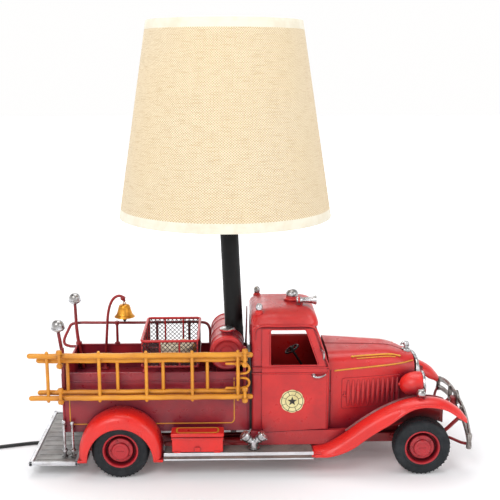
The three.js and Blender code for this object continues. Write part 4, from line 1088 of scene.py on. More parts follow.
def make_cab():
    wall = [(0.5, 38), (75, 38), (75, 101), (60.5, 143.4), (0.5, 143.4)]
    inside = [(2.3, 40), (73, 40), (73, 100.6), (58.4, 142.9), (2.3, 142.9)]
    shell = slab("cab_shell", wall, -49.8, 49.8, "XZ", 0)
    bevel(shell, 2.2, 4)
    hollow = slab("hollow", inside, -48.2, 48.2, "XZ", 0)
    window = [(19.5, 105), (62.8, 105), (64, 106.4), (52.4, 139.6), (50.8, 140.8), (19.5, 140.8), (18, 139.3),
        (18, 106.5)]
    side = slab("side_window", window, -60, 60, "XZ", 0)
    front = slab("windscreen_hole", rounded(-38, 38, 108, 139.6, 4), 52, 92, "YZ", 0)
    rear = slab("rear_hole", rounded(-22, 22, 116, 136, 4), -6, 12, "YZ", 0)
    bpy.context.view_layer.update()
    settle(shell)
    cut(shell, hollow, side, front, rear)
    rings = []
    for z, low_y, low_x in ((142.9, 0.2, 0.2), (144.5, 0.8, -0.2), (146.2, 3, 0), (147.5, 5.6, 0.3),
            (149.4, 7.6, 1), (151, 9.6, 2.2), (152.5, 12.2, 4), (153.9, 15.3, 6.2), (155, 18.8, 8.8),
            (155.9, 22.6, 12), (156.3, 26.4, 15.5), (156.5, 31, 20), (156.6, 38, 24)):
        x0, x1, half = 0.3 + low_x, 64.2 - low_x * 0.9, 50 - low_y
        corner = min(8 + low_x * 0.3, half - 0.1, (x1 - x0) / 2 - 0.1)
        rings.append([(x, y, z) for x, y in rounded(x0, x1, -half, half, corner, 6)])
    roof = loft("roof", rings, sharp=60)
    parts = [shell, roof]
    for s in (-1, 1):
        y = 49.7 * s
        door = [(14, 37), (72.6, 40.2), (72.6, 101.4), (58.8, 141.6), (10, 141.6), (9.6, 80), (10, 46),
            (10.8, 40), (12, 38)]
        panel = slab("door_panel", door, min(y, y + s * 1.1), max(y, y + s * 1.1), "XZ", 0)
        hole = slab("hole", window, -60, 60, "XZ", 0)
        cut(panel, hole)
        bevel(panel, 0.5, 2)
        parts.append(panel)
        face = s * 50.9
        for z in (97.2, 103):
            parts.append(tube("belt", [(x, face, z) for x in (1.4, 20, 40, 60, 73.4)], 0.75, 8))
        lip = [Vector((x, face - 0.1 * s, z)) for x, z in window]
        parts.append(tube("window_lip", lip, 0.7, 8, closed=True))
        gutter = [(3.4, s * 50.3, 132), (3.8, s * 50.6, 140), (8, s * 50.9, 143.8), (30, s * 51, 144.2),
            (57, s * 50.8, 143.6), (61.8, s * 50.4, 140.2), (68.6, s * 50.2, 120), (75, s * 50, 101.5)]
        parts.append(wire("gutter", gutter, 0.8, 5))
        sill = [[(x, s * yy, zz) for yy, zz in ((46, 38.6), (49.8, 38.6), (50.4, 36), (51.2, 31), (52.6, 27),
            (53.6, 25.6), (46, 25.6))] for x in (-0.6, 30, 60, 84)]
        sill.append([(112, s * yy * 0.86, zz) for _, yy, zz in ((0, 46, 38), (0, 47.5, 37.6), (0, 48, 36),
            (0, 48.2, 33), (0, 48.4, 31), (0, 48.4, 30), (0, 46, 29.6))])
        parts.append(loft("sill", sill))
    screen = rounded(-39, 39, 107.4, 140.2, 4.6)
    frame_path = [(75 - (z - 101) * SCREEN_SLOPE + 0.4, y, z) for y, z in screen]
    parts.append(tube("screen_frame", frame_path, 1.0, 8, closed=True))
    parts.append(tube("rear_frame", [(0.4, y, z) for y, z in rounded(-22.4, 22.4, 115.6, 136.4, 4)], 0.8, 8,
        closed=True))
    paint(DEEP_RED, *parts)
    unite("cab_body", parts, None, "red_paint", "cab")
    pillar = block("screen_pillar", (65.6, -0.8, 107.6), (67.2, 0.8, 140), 0.3)
    for v in pillar.data.vertices:
        v.co.x += (123.8 - v.co.z / MM) * SCREEN_SLOPE * MM
    dress(pillar, DEEP_RED, "red_paint")

    trim = []
    for s in (-1, 1):
        y = s * 51.4
        trim.append(wire("handle", [(59, y, 95.4), (59.8, s * 53.4, 94.8), (63.6, s * 54, 94.1),
            (67.6, s * 53.8, 94.8), (71, s * 52.9, 96.4)], lambda t: 1.45 - 0.75 * t, 4))
        trim.append(lathe("handle_plate", [(0.1, -0.5), (1.9, -0.5), (1.9, 0.3), (1.4, 0.8), (0.1, 0.9)],
            (59.6, y, 95.2), "Y", 20))
        trim.append(wire("mirror_arm", [(66.4, s * 50.6, 121), (67.6, s * 54, 120), (68, s * 57.6, 118.6)], 0.7, 4))
        trim.append(lathe("mirror", [(0.1, -0.9), (4.2, -0.7), (4.6, 0), (4.2, 0.7), (0.1, 0.5)],
            (68, s * 60.6, 118), "X", 28))
    unite("cab_trim", trim, CHROME, "chrome")
    domes = [lathe("marker_dome", [(2.2, 155.6), (3.2, 156.6), (3.4, 158.4), (3.0, 160.4), (1.8, 161.9),
        (0.1, 162.5)], (8, y, 0), steps=24) for y in (-34, 34)]
    unite("marker_domes", domes, CHROME, "chrome")
    bases = [lathe("marker_base", [(3.9, 149), (3.9, 154), (3.0, 155), (2.3, 156)], (8, y, 0), steps=24)
        for y in (-34, 34)]
    unite("marker_bases", bases, RED, "red_paint")

    for s, name in ((-1, "right"), (1, "left")):
        y0 = s * 50.7

        def on_badge(radius, angle, y):
            return BADGE_X + radius * cos(angle), y, BADGE_Z + radius * sin(angle)

        scallops = [(x, z) for x, _, z in (on_badge(10.9 + 0.75 * abs(cos(4 * a)) ** 0.7, a, 0)
            for a in round_angles(96))]
        plate = slab("badge_plate", scallops, min(y0, y0 + s * 0.45), max(y0, y0 + s * 0.45), "XZ", 0.12)
        paint(EMBLEM, plate)
        line_y = y0 + s * 0.5
        marks = [painted_line("ring", [on_badge(r, a, line_y) for a in round_angles(48)], w, line_y, True)
            for r, w in ((10.3, 0.6), (6.3, 0.5))]
        for k in range(8):
            a = tau * (k + 0.5) / 8
            marks.append(painted_line("ray", [on_badge(r, a, line_y) for r in (6.6, 10)], 0.5, line_y))
        star = [(BADGE_X + r * sin(pi * k / 5), BADGE_Z + r * cos(pi * k / 5))
            for k, r in enumerate((4.9, 2.0) * 5)]
        marks.append(slab("star", star, y0 + s * (0.5 if s < 0 else 0.3), y0 + s * (0.3 if s < 0 else 0.5), "XZ", 0))
        paint(BLACK_PAINT, *marks)
        unite(f"door_badge_{name}", [plate, *marks], None, "yellow_paint")


# ---- truck: hood, radiator, lights ------------------------------------------------------------
HOOD_BACK, HOOD_LENGTH = 75.4, 87.6
HOOD_HALF, HOOD_TAPER = 41, 0.18265
SHOULDER_HIGH, SHOULDER_GROWTH = 13.4, 2.2


def hood_half(x):
    return HOOD_HALF - HOOD_TAPER * (x - HOOD_BACK) - 1.6 * ease((x - 152) / 11)


def hood_top(x):
    t = (x - HOOD_BACK) / HOOD_LENGTH
    return 111.2 - 0.9 * t - 2 * t * t - 6.3 * ease((t - 0.66) / 0.34) ** 1.25


def on_hood(x, angle, out=0.0):
    """A place on the hood's skin: 0 degrees where its shoulder starts, 90 where the flat top does."""
    t = (x - HOOD_BACK) / HOOD_LENGTH
    wide, high = (0.4 + 0.15 * t) * hood_half(x), SHOULDER_HIGH + SHOULDER_GROWTH * t
    a = radians(angle)
    return (hood_half(x) - wide * (1 - cos(max(a, 0))) + out * cos(a),
        hood_top(x) - high * (1 - sin(a)) + out * max(sin(a), 0))


def make_hood():
    rings = []
    for k in range(23):
        x = HOOD_BACK + HOOD_LENGTH * k / 22
        hw, top = hood_half(x), hood_top(x)
        side = [(hw, z) for z in (33.5, 44, 56, 70, 80)] + [on_hood(x, a) for a in (-10, 0, 15, 30, 45, 60, 75, 90)]
        side += [(hw * 0.2, top + 0.1), (1.6, top + 0.2), (1.0, top - 0.7), (0.55, top - 0.7), (0.4, top + 0.5)]
        rings.append([(x, -y, z) for y, z in side] + [(x, y, z) for y, z in reversed(side)])
    hood = loft("hood_skin", rings, sharp=32)
    parts = [hood]
    for s in (-1, 1):
        along = Vector((1, -s * HOOD_TAPER, 0)).normalized()
        out = Vector((HOOD_TAPER, s, 0)).normalized()

        def on_side(u, v, w):
            return Vector((HOOD_BACK, s * HOOD_HALF, 0)) + along * u + out * w + Vector((0, 0, v))

        panel = [on_side(u, v, w) for w in (-0.3, 0.65) for u, v in rounded(13.6, 74, 56.4, 87.4, 2.2)]
        count = len(panel) // 2
        parts.append(bevel(loft("louvre_panel", [panel[:count], panel[count:]]), 0.3))
        for k in range(11):
            u = 20 + 5.1 * k
            rows = []
            for i in range(9):
                t = i / 8
                v = 59 + 26 * t
                size = sin(pi * min(max(t, 0.03), 0.97)) ** 0.35
                rows.append([on_side(u + du * size, v, 0.55 + dw * size)
                    for du, dw in ((-2.3, -0.2), (-2.1, 0.6), (-1.1, 1.4), (0.2, 1.8), (1.1, 1.6), (1.6, 0.7),
                    (1.7, -0.2))])
            parts.append(loft("louvre", rows, sharp=50))
        parts.append(tube("cowl_seam", [on_side(2.4, v, 0.1) for v in (40, 60, 80, 96)], 0.7, 8))
        latch = [on_side(16.2, v, 0.8) for v in (69, 71, 73)]
        parts.append(tube("latch", latch, 0.9, 8))
        parts.append(tube("latch", [on_side(u, 70, 1.0) for u in (15.2, 17.4)], 0.8, 8))
    paint(DEEP_RED, *parts)
    unite("hood_red", parts, None, "red_paint", "hood")
    gold = []
    for s in (-1, 1):
        stripe = []
        for k in range(25):
            x = 81.5 + 80 * k / 24
            high = SHOULDER_HIGH + SHOULDER_GROWTH * (x - HOOD_BACK) / HOOD_LENGTH
            level = 95.8 + 0.035 * (x - 82)
            y, z = on_hood(x, degrees(asin(1 - (hood_top(x) - level) / high)), 0.1)
            stripe.append((x, s * y, z))
        gold.append(tube("hood_stripe", stripe, 0.8, 8))
        for angle, x0, x1, wide in ((48, 101, 146, 1.0), (38, 104, 143, 0.55)):
            bar = [(x, *on_hood(x, angle + 8 * (x - x0) / (x1 - x0), 0.1)) for x in (x0 + (x1 - x0) * k / 8
                for k in range(9))]
            gold.append(tube("hood_bar", [(x, s * y, z) for x, y, z in bar], wide, 8))
        for x, angle in ((99.5, 47), (147.5, 57)):
            y, z = on_hood(x, angle, 0.1)
            gold.append(lathe("hood_bar_end", [(0.1, -1.2), (1.2, -0.8), (1.8, 0), (1.2, 0.8), (0.1, 1.2)],
                (x, s * y, z), steps=16))
    unite("hood_gold", gold, GOLD, "yellow_paint")


def make_front():
    outline = [(-24.6, 42), (24.6, 42), (24.9, 70), (24.4, 84), (22.4, 91.4), (17.6, 96.6), (9, 99.2),
        (0, 99.9), (-9, 99.2), (-17.6, 96.6), (-22.4, 91.4), (-24.4, 84), (-24.9, 70)]
    shell = slab("radiator_core", [(y * 0.94, 75.7 + (z - 75.7) * 0.95) for y, z in outline], 163.4, 166.4, "YZ", 0.3)
    paint(BLACK_PAINT, shell)
    chrome = [tube("radiator_surround", curve_through([(166.2, y * 0.955, 75.7 + (z - 75.7) * 0.955)
        for y, z in outline], 4, True), 2.2, 12, closed=True)]
    for k in range(15):
        y = -19.6 + 2.8 * k
        top = 95.6 - 9.5 * (abs(y) / 21) ** 2.4
        chrome.append(tube("slat", [(166.9, y, z) for z in (45, 60, 80, top)], 0.62, 8))
    chrome.append(tube("grille_bar", [(167.4, y, 75) for y in (-21, -7, 7, 21)], 0.9, 8))
    cap = [(0.1, 98), (4.2, 98.4), (4.6, 104), (4.0, 105.2), (2.2, 106), (1.9, 108), (2.6, 109), (2.4, 111),
        (1.2, 112.4), (0.1, 113)]
    chrome.append(lathe("radiator_cap", cap, (158, 0, 0), steps=28))
    chrome.append(wire("cap_wing", [(153, 0, 109.4), (156, 0, 111.4), (159.8, 0, 110.6), (161, 0, 107.4)],
        lambda t: 0.8 + 0.8 * sin(pi * t), 4))
    paint(CHROME, *chrome)
    unite("radiator_chrome", [shell, *chrome], None, "chrome", "radiator")

    for s, name in ((-1, "right"), (1, "left")):
        at = (164, s * 38.2, 80.6)
        bowl = lathe("headlight_bowl", [(0.2, -18.6), (3.4, -18.2), (6.6, -16.4), (9.6, -12.8), (11.6, -8),
            (12.5, -3), (12.6, 1.4), (12.0, 3.4)], at, "X", 48, 60)
        foot = wire("headlight_foot", [(162, s * 37, 70), (162, s * 40, 64), (161, s * 45, 60)], 2.2, 4)
        tail = lathe("bowl_tip", [(1.5, -18.2), (1.4, -19.6), (0.1, -20)], at, "X", 16)
        paint(RED, bowl, foot, tail)
        rim = lathe("headlight_rim", [(11.8, 2.4), (12.9, 2.6), (13.3, 3.6), (12.9, 4.8), (11.8, 5.2),
            (11.2, 4.6), (11.1, 3.6)], at, "X", 48)
        paint(CHROME, rim)
        lens = lathe("headlight_lens", [(11.4, 4.0), (8.6, 5.4), (4.6, 6.4), (0.1, 6.8)], at, "X", 48)
        paint(LENS, lens)
        unite(f"headlight_{name}_lit", [bowl, foot, tail, rim, lens], None, "red_paint", f"headlight_{name}")

    # The bumper is bent in the photograph: its left end stands higher than its right one.
    bars = []
    for points in (((209.4, -66, 37.5), (211.5, -50, 43), (213, -28, 49.5), (213, 0, 53), (213, 28, 54),
            (211.5, 50, 52), (209.8, 66, 48.5)), ((209, -66, 27.5), (211, -50, 33), (212.4, -28, 39),
            (212.4, 0, 42), (212.4, 28, 43.5), (211, 50, 42), (209.2, 66, 39))):
        path = curve_through(points, 7)
        bar = tube("bumper_bar", path, 2.5, 12)
        for v in bar.data.vertices:
            near = min(path, key=lambda p: abs(p.y - v.co.y / MM))
            v.co.x = near.x * MM + (v.co.x - near.x * MM) * 0.55
            v.co.z = near.z * MM + (v.co.z - near.z * MM) * 1.15
        bars.append(bar)
    badge = [(0.1, 3.0), (2.6, 2.9), (3.4, 2.2), (6.2, 1.9), (7.4, 1.5), (7.9, 0.4), (7.9, -1.0), (7.2, -1.6),
        (0.1, -1.6)]
    bars.append(lathe("bumper_badge", badge, (212.4, 0, 52), "X", 8))
    for s, low in ((-1, 36.5), (1, 41)):
        bars.append(block("bumper_clip", (209.8, s * 24 - 2, low), (214.0, s * 24 + 2, low + 15.5), 0.7))
    for s, low in ((-1, 24.4), (1, 35.4)):
        cap = [(0.1, 0), (2.4, 0.4), (2.8, 2.6), (2.2, 7.6), (2.8, 13.6), (2.0, 15.6), (0.1, 15.8)]
        bars.append(lathe("end_cap", [(r, low + h) for r, h in cap], (209.2, s * 65.2, 0), steps=20))
    paint(DULL_CHROME, *bars)
    arms = [wire("bumper_arm", [(186, s * 23, 20.5), (196, s * 23.4, 26), (204, s * 24, 34),
        (211, s * 24, 41)], 2.0, 5) for s in (-1, 1)]
    arms.append(block("badge_back", (206.4, -4.4, 41), (211.4, 4.4, 53), 1.2, 3))
    arms += [wire("corner_stay", [(190, s * 23, 21), (197, s * 40, 25), (204, s * 56, 27 + lift),
        (208.4, s * 64, 29 + lift)], 1.5, 5) for s, lift in ((-1, 0), (1, 10))]
    paint(DARK_RED, *arms)
    unite("bumper_chrome", bars + arms, None, "chrome", "front_bumper")


make_bed()
make_cab()
make_hood()
make_front()


# ---- truck: ladders and what the bed carries --------------------------------------------------
def make_ladders():
    for name, x0, x1, y, low, high, rungs in (("outer", -208, -1, -61.6, 78.4, 120,
            (-192, -143.6, -99.4, -56.2, -13)), ("inner", -201, -6, -55.2, 81.6, 113.4,
            (-174.2, -127.2, -84.1, -42.1))):
        parts = []
        for k, z in enumerate((low, high)):
            path = [(x0 + (x1 - x0) * i / 24, y, z + 0.22 * sin(1.7 * i + k)) for i in range(25)]
            parts.append(tube("rail", path, 2.5, 14))
        for x in rungs:
            parts.append(tube("rung", [(x, y, low - 2.9), (x + 0.1, y, (low + high) / 2), (x, y, high + 3.1)], 1.6, 12))
        unite(f"ladder_{name}_yellow", parts, YELLOW, "yellow_paint", f"ladder_{name}")
    hooks = []
    for z, up in ((107.5, 1), (88.5, -1)):
        y = -58.4
        hooks.append(wire("ladder_hook", [(-24, y, z + 2.6 * up), (-15, y, z + 2.6 * up),
            (-8.6, y, z + 2.6 * up), (-4.0, y, z + 1.2 * up), (-2.2, y, z - 2.6 * up),
            (-4.0, y, z - 6.2 * up), (-9, y, z - 7.4 * up), (-14, y, z - 7.2 * up)], 1.15, 4))
        hooks.append(lathe("hook_nut", [(0.1, -1.8), (2.4, -1.6), (2.8, 0), (2.4, 1.6), (0.1, 1.8)],
            (-13, y - 1.2, z + 2.6 * up), "Y", 8))
    unite("ladder_hooks", hooks, YELLOW, "yellow_paint")
    for name, x in (("rear", -179.5), ("front", -6.5)):
        bar = block("rack_bar", (x - 1.5, -50.2, 72.2), (x + 1.5, -47.4, 124), 0.5)
        paint(DARK_RED, bar)
        parts = []
        for z, top in ((109.2, 125), (73.8, 88)):
            path = [(x, -48, z), (x, -60, z), (x, -64.2, z + 0.2), (x, -66.4, z + 2.4), (x, -66.6, z + 7),
                (x, -66.4, top)]
            parts.append(wire("rack_arm", path, 1.5, 4))
            for zz in (top, z + 2.6):
                parts.append(lathe("rack_knob", [(0.1, -2.2), (2.4, -1.8), (2.9, 0), (2.4, 1.8), (0.1, 2.2)],
                    (x, -66.5, zz), steps=14))
        paint(YELLOW, *parts)
        unite(f"ladder_rack_{name}_yellow", [bar, *parts], None, "yellow_paint", f"ladder_rack_{name}")


def mesh_wall(at, across, up, width, height, pitch=4.4):
    """Diamond wire netting on a flat panel: wires both ways, clipped to the panel."""
    parts = []
    at, across, up = Vector(at), Vector(across), Vector(up)
    count = int((width + height) / pitch) + 1

    def clip(u, v, slope):
        inside = min(max(u, 0.0), width)
        return inside, v + (inside - u) * slope

    for lean in (1, -1):
        for k in range(count + 1):
            c = k * pitch - (height if lean > 0 else 0)
            (u0, v0), (u1, v1) = clip(c, 0.0, lean), clip(c + lean * height, height, lean)
            if abs(u1 - u0) > 0.8 and -0.01 <= min(v0, v1) and max(v0, v1) <= height + 0.01:
                a = at + across * u0 + up * v0
                b = at + across * u1 + up * v1
                parts.append(tube("strand", [a, (a + b) / 2, b], 0.32, 5, round_ends=False))
    return parts


def make_basket():
    x0, x1, y0, y1, z0, z1 = -106, -50.5, -41, 41, 101, 127
    frame_parts = []
    for z, r in ((z1, 1.35), (z0 + 0.4, 1.2)):
        frame_parts.append(tube("basket_hoop", [(x, y, z) for x, y in rounded(x0 + 0.6, x1 - 0.6, y0 + 0.6,
            y1 - 0.6, 4)], r, 10, closed=True))
    for x, y in [(x, y) for x in (x0 + 1.4, x1 - 1.4) for y in (y0 + 1.4, -14, 14, y1 - 1.4)] + [(x, y)
            for x in (-87.8, -69) for y in (y0 + 0.7, y1 - 0.7)]:
        frame_parts.append(tube("basket_post", [(x, y, z0), (x, y, (z0 + z1) / 2), (x, y, z1)], 0.95, 8))
    for x in (-102.8, -57.2):
        frame_parts.append(block("cross_bar", (x - 1.25, -47, 98.3), (x + 1.25, 47, 100.5), 0.5))
    for y in (-20, 20):
        frame_parts.append(tube("floor_rod", [(x, y, z0 - 0.1) for x in (x0 + 1, -78, x1 - 1)], 0.9, 8))
    unite("basket_frame", frame_parts, DEEP_RED, "red_paint", "basket")
    net = []
    for x in (x0 + 0.6, x1 - 0.6):
        net += mesh_wall((x, y0 + 1, z0 + 0.4), (0, 1, 0), (0, 0, 1), y1 - y0 - 2, z1 - z0 - 0.6)
    for y in (y0 + 0.6, y1 - 0.6):
        net += mesh_wall((x0 + 1, y, z0 + 0.4), (1, 0, 0), (0, 0, 1), x1 - x0 - 2, z1 - z0 - 0.6)
    net += mesh_wall((x0 + 1, y0 + 1, z0), (1, 0, 0), (0, 1, 0), x1 - x0 - 2, y1 - y0 - 2, 5.2)
    unite("basket_net", net, NET, "dark_red_paint")
    path = []
    turns = 4.2
    for i in range(int(turns * 30) + 1):
        a = tau * i / 30
        r = 4.2 + 2.95 * i / 30
        path.append(Vector((-75 + r * cos(a), r * sin(a), 0)))
    half_w, half_h, mid = 1.3, 4.6, 107
    section = [(-half_w, -half_h), (half_w, -half_h), (half_w * 1.15, 0), (half_w, half_h), (-half_w, half_h),
        (-half_w * 1.1, 0)]
    rings = []
    for i, at in enumerate(path):
        out = Vector((at.x + 75, at.y, 0)).normalized()
        wave = 0.5 * sin(i * 0.37)
        rings.append([at + out * u + Vector((0, 0, mid + v + wave)) for u, v in section])
    roll = loft("canvas_roll", rings)
    bevel(roll, 0.7, 2)
    nozzle = lathe("hose_coupling", [(0.1, -6), (2.6, -6), (3, -5), (3, -1), (2.2, 0), (2.2, 4), (1.6, 9),
        (0.1, 9.4)], (-75 + 17.6, 5, 106), "Y", 24)
    paint(HOSE, roll)
    paint(BRASS, nozzle)
    unite("hose_roll_canvas", [roll, nozzle], None, "canvas", "hose_roll")


def make_rail_and_lights():
    y = 46.5
    path = [(-183, y, 95), (-189, y, 95.2), (-194.4, y, 97.4), (-195.2, y, 101.6), (-190.4, y, 113),
        (-186.8, y, 119), (-181, y, 120.6), (-160, y, 120.8), (-120, y, 120.5), (-80, y, 120.7),
        (-52, y, 120.6), (-44.4, y, 118.9), (-41.4, y, 113.6), (-41, y, 104), (-41, y, 98.3)]
    parts = [wire("rail", path, 1.5, 5, sides=12)]
    for x in (-139, -97, -63):
        parts.append(tube("rail_post", [(x, y, 98.2), (x, y, 110), (x, y, 120.6)], 1.4, 10))
        parts.append(lathe("rail_foot", [(2.9, 98.1), (2.9, 98.9), (1.8, 99.6), (1.4, 100.4)], (x, y, 0), steps=20))
        parts.append(lathe("rail_tee", [(0.1, 118.2), (2.0, 118.5), (2.2, 120.6), (2.0, 122.4), (0.1, 122.7)],
            (x, y, 0), steps=20))
    unite("handrail_red", parts, DARK_RED, "dark_red_paint", "handrail")
    for s, name in ((-1, "right"), (1, "left")):
        x, rise = (-184, 0) if s < 0 else (-181.6, 4.6)
        post = wire("spot_post", [(-175, s * 40.4, 72.2), (-177.6, s * 41, 90), (-180.4, s * 41.7, 112),
            (x, s * 42.2, 138.4 + rise)], lambda t: 2.1 - 0.5 * t, 5)
        clamp = lathe("spot_clamp", [(0.1, 98.6), (3.0, 98.8), (3.3, 100.4), (2.8, 102), (0.1, 102.2)],
            (-178.8, s * 41.3, 0), steps=16)
        paint(DARK_RED, post, clamp)
        dome = lathe("spot_dome", [(0.1, 137.4), (2.2, 137.6), (3.4, 138.6), (5.6, 139.6), (6.1, 141),
            (6.1, 143.4), (5.8, 145.4), (4.9, 147.4), (3.4, 148.8), (1.6, 149.5), (0.1, 149.6)],
            (x, s * 42.2, rise), steps=36)
        band = lathe("spot_band", [(6.0, 140.6), (6.7, 141), (6.7, 142), (6.0, 142.4)], (x, s * 42.2, rise), steps=36)
        paint(CHROME, dome, band)
        unite(f"spotlight_{name}_lit", [post, clamp, dome, band], None, "chrome", f"spotlight_{name}")


BELL_X, BELL_Y = -129.8, 38


def make_bell():
    path = [(-152, 41, 72.2), (-151.4, 41, 84), (-150, 41, 100), (-148.6, 40.4, 118), (-147.2, 39.8, 132),
        (-144.4, 39.2, 143), (-140.4, 38.4, 149.4), (-135.4, 38, 152), (-131.6, 38, 150.8), (-129.8, 38, 147)]
    neck = wire("gooseneck", path, 1.45, 5, sides=12)
    foot = lathe("neck_foot", [(4.4, 72.1), (4.4, 73), (2.4, 74), (1.6, 76.4)], (-152, 41, 0), steps=24)
    knob = lathe("neck_knob", [(0.1, -2.6), (1.9, -2.3), (2.7, -0.4), (2.2, 1.8), (0.1, 2.4)],
        (-131.0, 38, 149.6), steps=18, turn=Matrix.Rotation(radians(28), 3, "Y"))
    unite("bell_gooseneck", [neck, foot, knob], DARK_RED, "dark_red_paint", "bell_post")
    pivot = (BELL_X, BELL_Y, 142.6)
    cup = lathe("bell_cup", [(0.2, 0.9), (1.6, 0.8), (2.2, 0.2), (4.6, -0.1), (5.5, -0.9), (6.0, -2.6),
        (7.0, -6.0), (8.1, -9.4), (9.0, -11.2), (10.4, -12.3), (10.6, -12.9), (10.0, -13.1), (8.2, -11.4),
        (7.2, -8.4), (6.0, -4), (4.6, -1.8), (0.2, -1.5)], pivot, steps=56, sharp=60)
    rings = [lathe("bell_band", [(r - 0.1, z + 0.35), (r + 0.22, z), (r - 0.05, z - 0.35)], pivot, steps=56)
        for r, z in ((6.3, -3.4), (8.7, -10.6))]
    loop = tube("bell_loop", [Vector(pivot) + Vector((1.25 * cos(a), 0, 1.5 + 1.35 * sin(a)))
        for a in round_angles(16)], 0.5, 8, closed=True)
    unite("bell_polished", [cup, *rings, loop], BRASS, "bell_brass", "bell", body="bell")
    ball = [(0.1, 1.9)] + [(1.95 * sin(pi * k / 10), 1.95 * cos(pi * k / 10)) for k in range(1, 10)]
    tongue = lathe("clapper_ball", ball + [(0.8, -1.9), (0.7, -2.6), (0.1, -2.8)], (BELL_X, BELL_Y, 126.6),
        steps=20, sharp=60)
    stem = tube("clapper_wire", [(BELL_X, BELL_Y, z) for z in (140.6, 133, 127)], 0.6, 8)
    unite("clapper_dark", [tongue, stem], BLACK_PAINT, "bell_brass", "clapper", body="clapper")


def make_tank():
    x, z = -23, 114.9
    half = 43
    profile = [(0.2, -half + 2.6), (9, -half + 2.4), (12.4, -half + 1.2), (13.4, -half - 0.0),
        (15.4, -half - 0.1), (16.5, -half + 0.5), (17.1, -half + 1.4), (17.1, -half + 3.2),
        (16.5, -half + 3.8), (16.3, -half + 5)]
    for y in (-26, 0, 26):
        profile += [(16.3, y - 2.0), (16.9, y - 1.6), (16.9, y + 1.6), (16.3, y + 2.0)]
    profile += [(r, -h) for r, h in reversed(profile[:10])]
    drum = lathe("tank_drum", profile, (x, 0, z), "Y", 64)
    ribs = [lathe("tank_ring", [(r - 0.1, -0.2), (r, 0.55), (r + 0.5, 0.6), (r + 1.0, -0.2)],
        (x, s * (half - 2.7), z), "Y", 48, turn=Matrix.Scale(s, 3, (0, 1, 0))) for s in (-1, 1)
        for r in (6.2, 10.2)]
    neck = lathe("filler_neck", [(6.6, 128.6), (6.9, 130.4), (6.0, 131.4), (6.0, 132.8), (7.4, 133.4),
        (8.0, 134.4), (7.8, 135.4), (6.8, 135.8)], (x, -27, 0), steps=36)
    saddles = [block("tank_saddle", (x - 10.6, y, 72.2), (x + 8.6, y + 3, 104.6), 0.5) for y in (-34, 31)]
    paint(DEEP_RED, drum, *ribs, neck, *saddles)
    cap = lathe("filler_cap", [(0.1, 136.8), (3, 136.7), (6.4, 136.2), (7.3, 135.6), (7.3, 134.8),
        (6.6, 134.4)], (x, -27, 0), steps=36)
    paint(CHROME, cap)
    unite("tank_red", [drum, *ribs, neck, *saddles, cap], None, "red_paint", "tank")


def make_running_board_load():
    body = block("box_body", (-76, -70.2, 25.8), (-27.5, -54, 40.8), 0.9, 3)
    lid = block("box_lid", (-77, -71, 41.2), (-26.5, -53.4, 45), 1.3, 3)
    groove = block("box_band", (-76.6, -70.7, 38.8), (-27.0, -53.7, 40.2), 0.4)
    hasp = block("hasp", (-54.4, -71.8, 27), (-49.2, -70, 31.4), 0.5)
    feet = [block("box_foot", (x - 3, -71, 25.6), (x + 3, -69.6, 27.2), 0.3) for x in (-71, -33)]
    paint(RED, body, lid, groove, hasp, *feet)
    loop = [(x, y, 45.15) for x, y in rounded(-71.5, -32, -68.4, -56.4, 3.4)]
    line = tube("lid_line", loop, 0.9, 8, closed=True)
    for v in line.data.vertices:
        v.co.z = 0.04515 + (v.co.z - 0.04515) * 0.35
    paint(GOLD, line)
    unite("toolbox_red", [body, lid, groove, hasp, *feet, line], None, "red_paint", "toolbox")
    at = Vector((2, -61, 0))
    parts = [lathe("inlet_foot", [(0.1, 25.7), (5.6, 25.7), (5.8, 26.6), (4.4, 27.4), (4.2, 31), (4.6, 33.6),
        (2.6, 36), (0.1, 36.6)], at, steps=32)]
    for lean in (-1, 1):
        turn = Matrix.Rotation(radians(44 * lean), 3, "Y") @ Matrix.Rotation(radians(12), 3, "X")
        branch = [(0.1, 0), (3.4, 0), (3.4, 6.4), (4.4, 7), (4.4, 8.6), (3.6, 9), (3.6, 9.8), (4.7, 10.2),
            (4.9, 11), (4.9, 14.2), (4.5, 14.8), (2.6, 15.0), (2.2, 15.6), (0.1, 15.7)]
        parts.append(lathe("inlet_branch", branch, at + Vector((0, 0, 30.5)), steps=28, turn=turn))
        for a in round_angles(4):
            lug = turn @ Vector((4.9 * cos(a), 4.9 * sin(a), 12.6))
            parts.append(lathe("inlet_lug", [(0.1, -0.9), (0.9, -0.7), (0.9, 0.7), (0.1, 0.9)],
                at + Vector((0, 0, 30.5)) + lug, steps=10))
    unite("hose_inlet_chrome", parts, CHROME, "chrome", "hose_inlet")


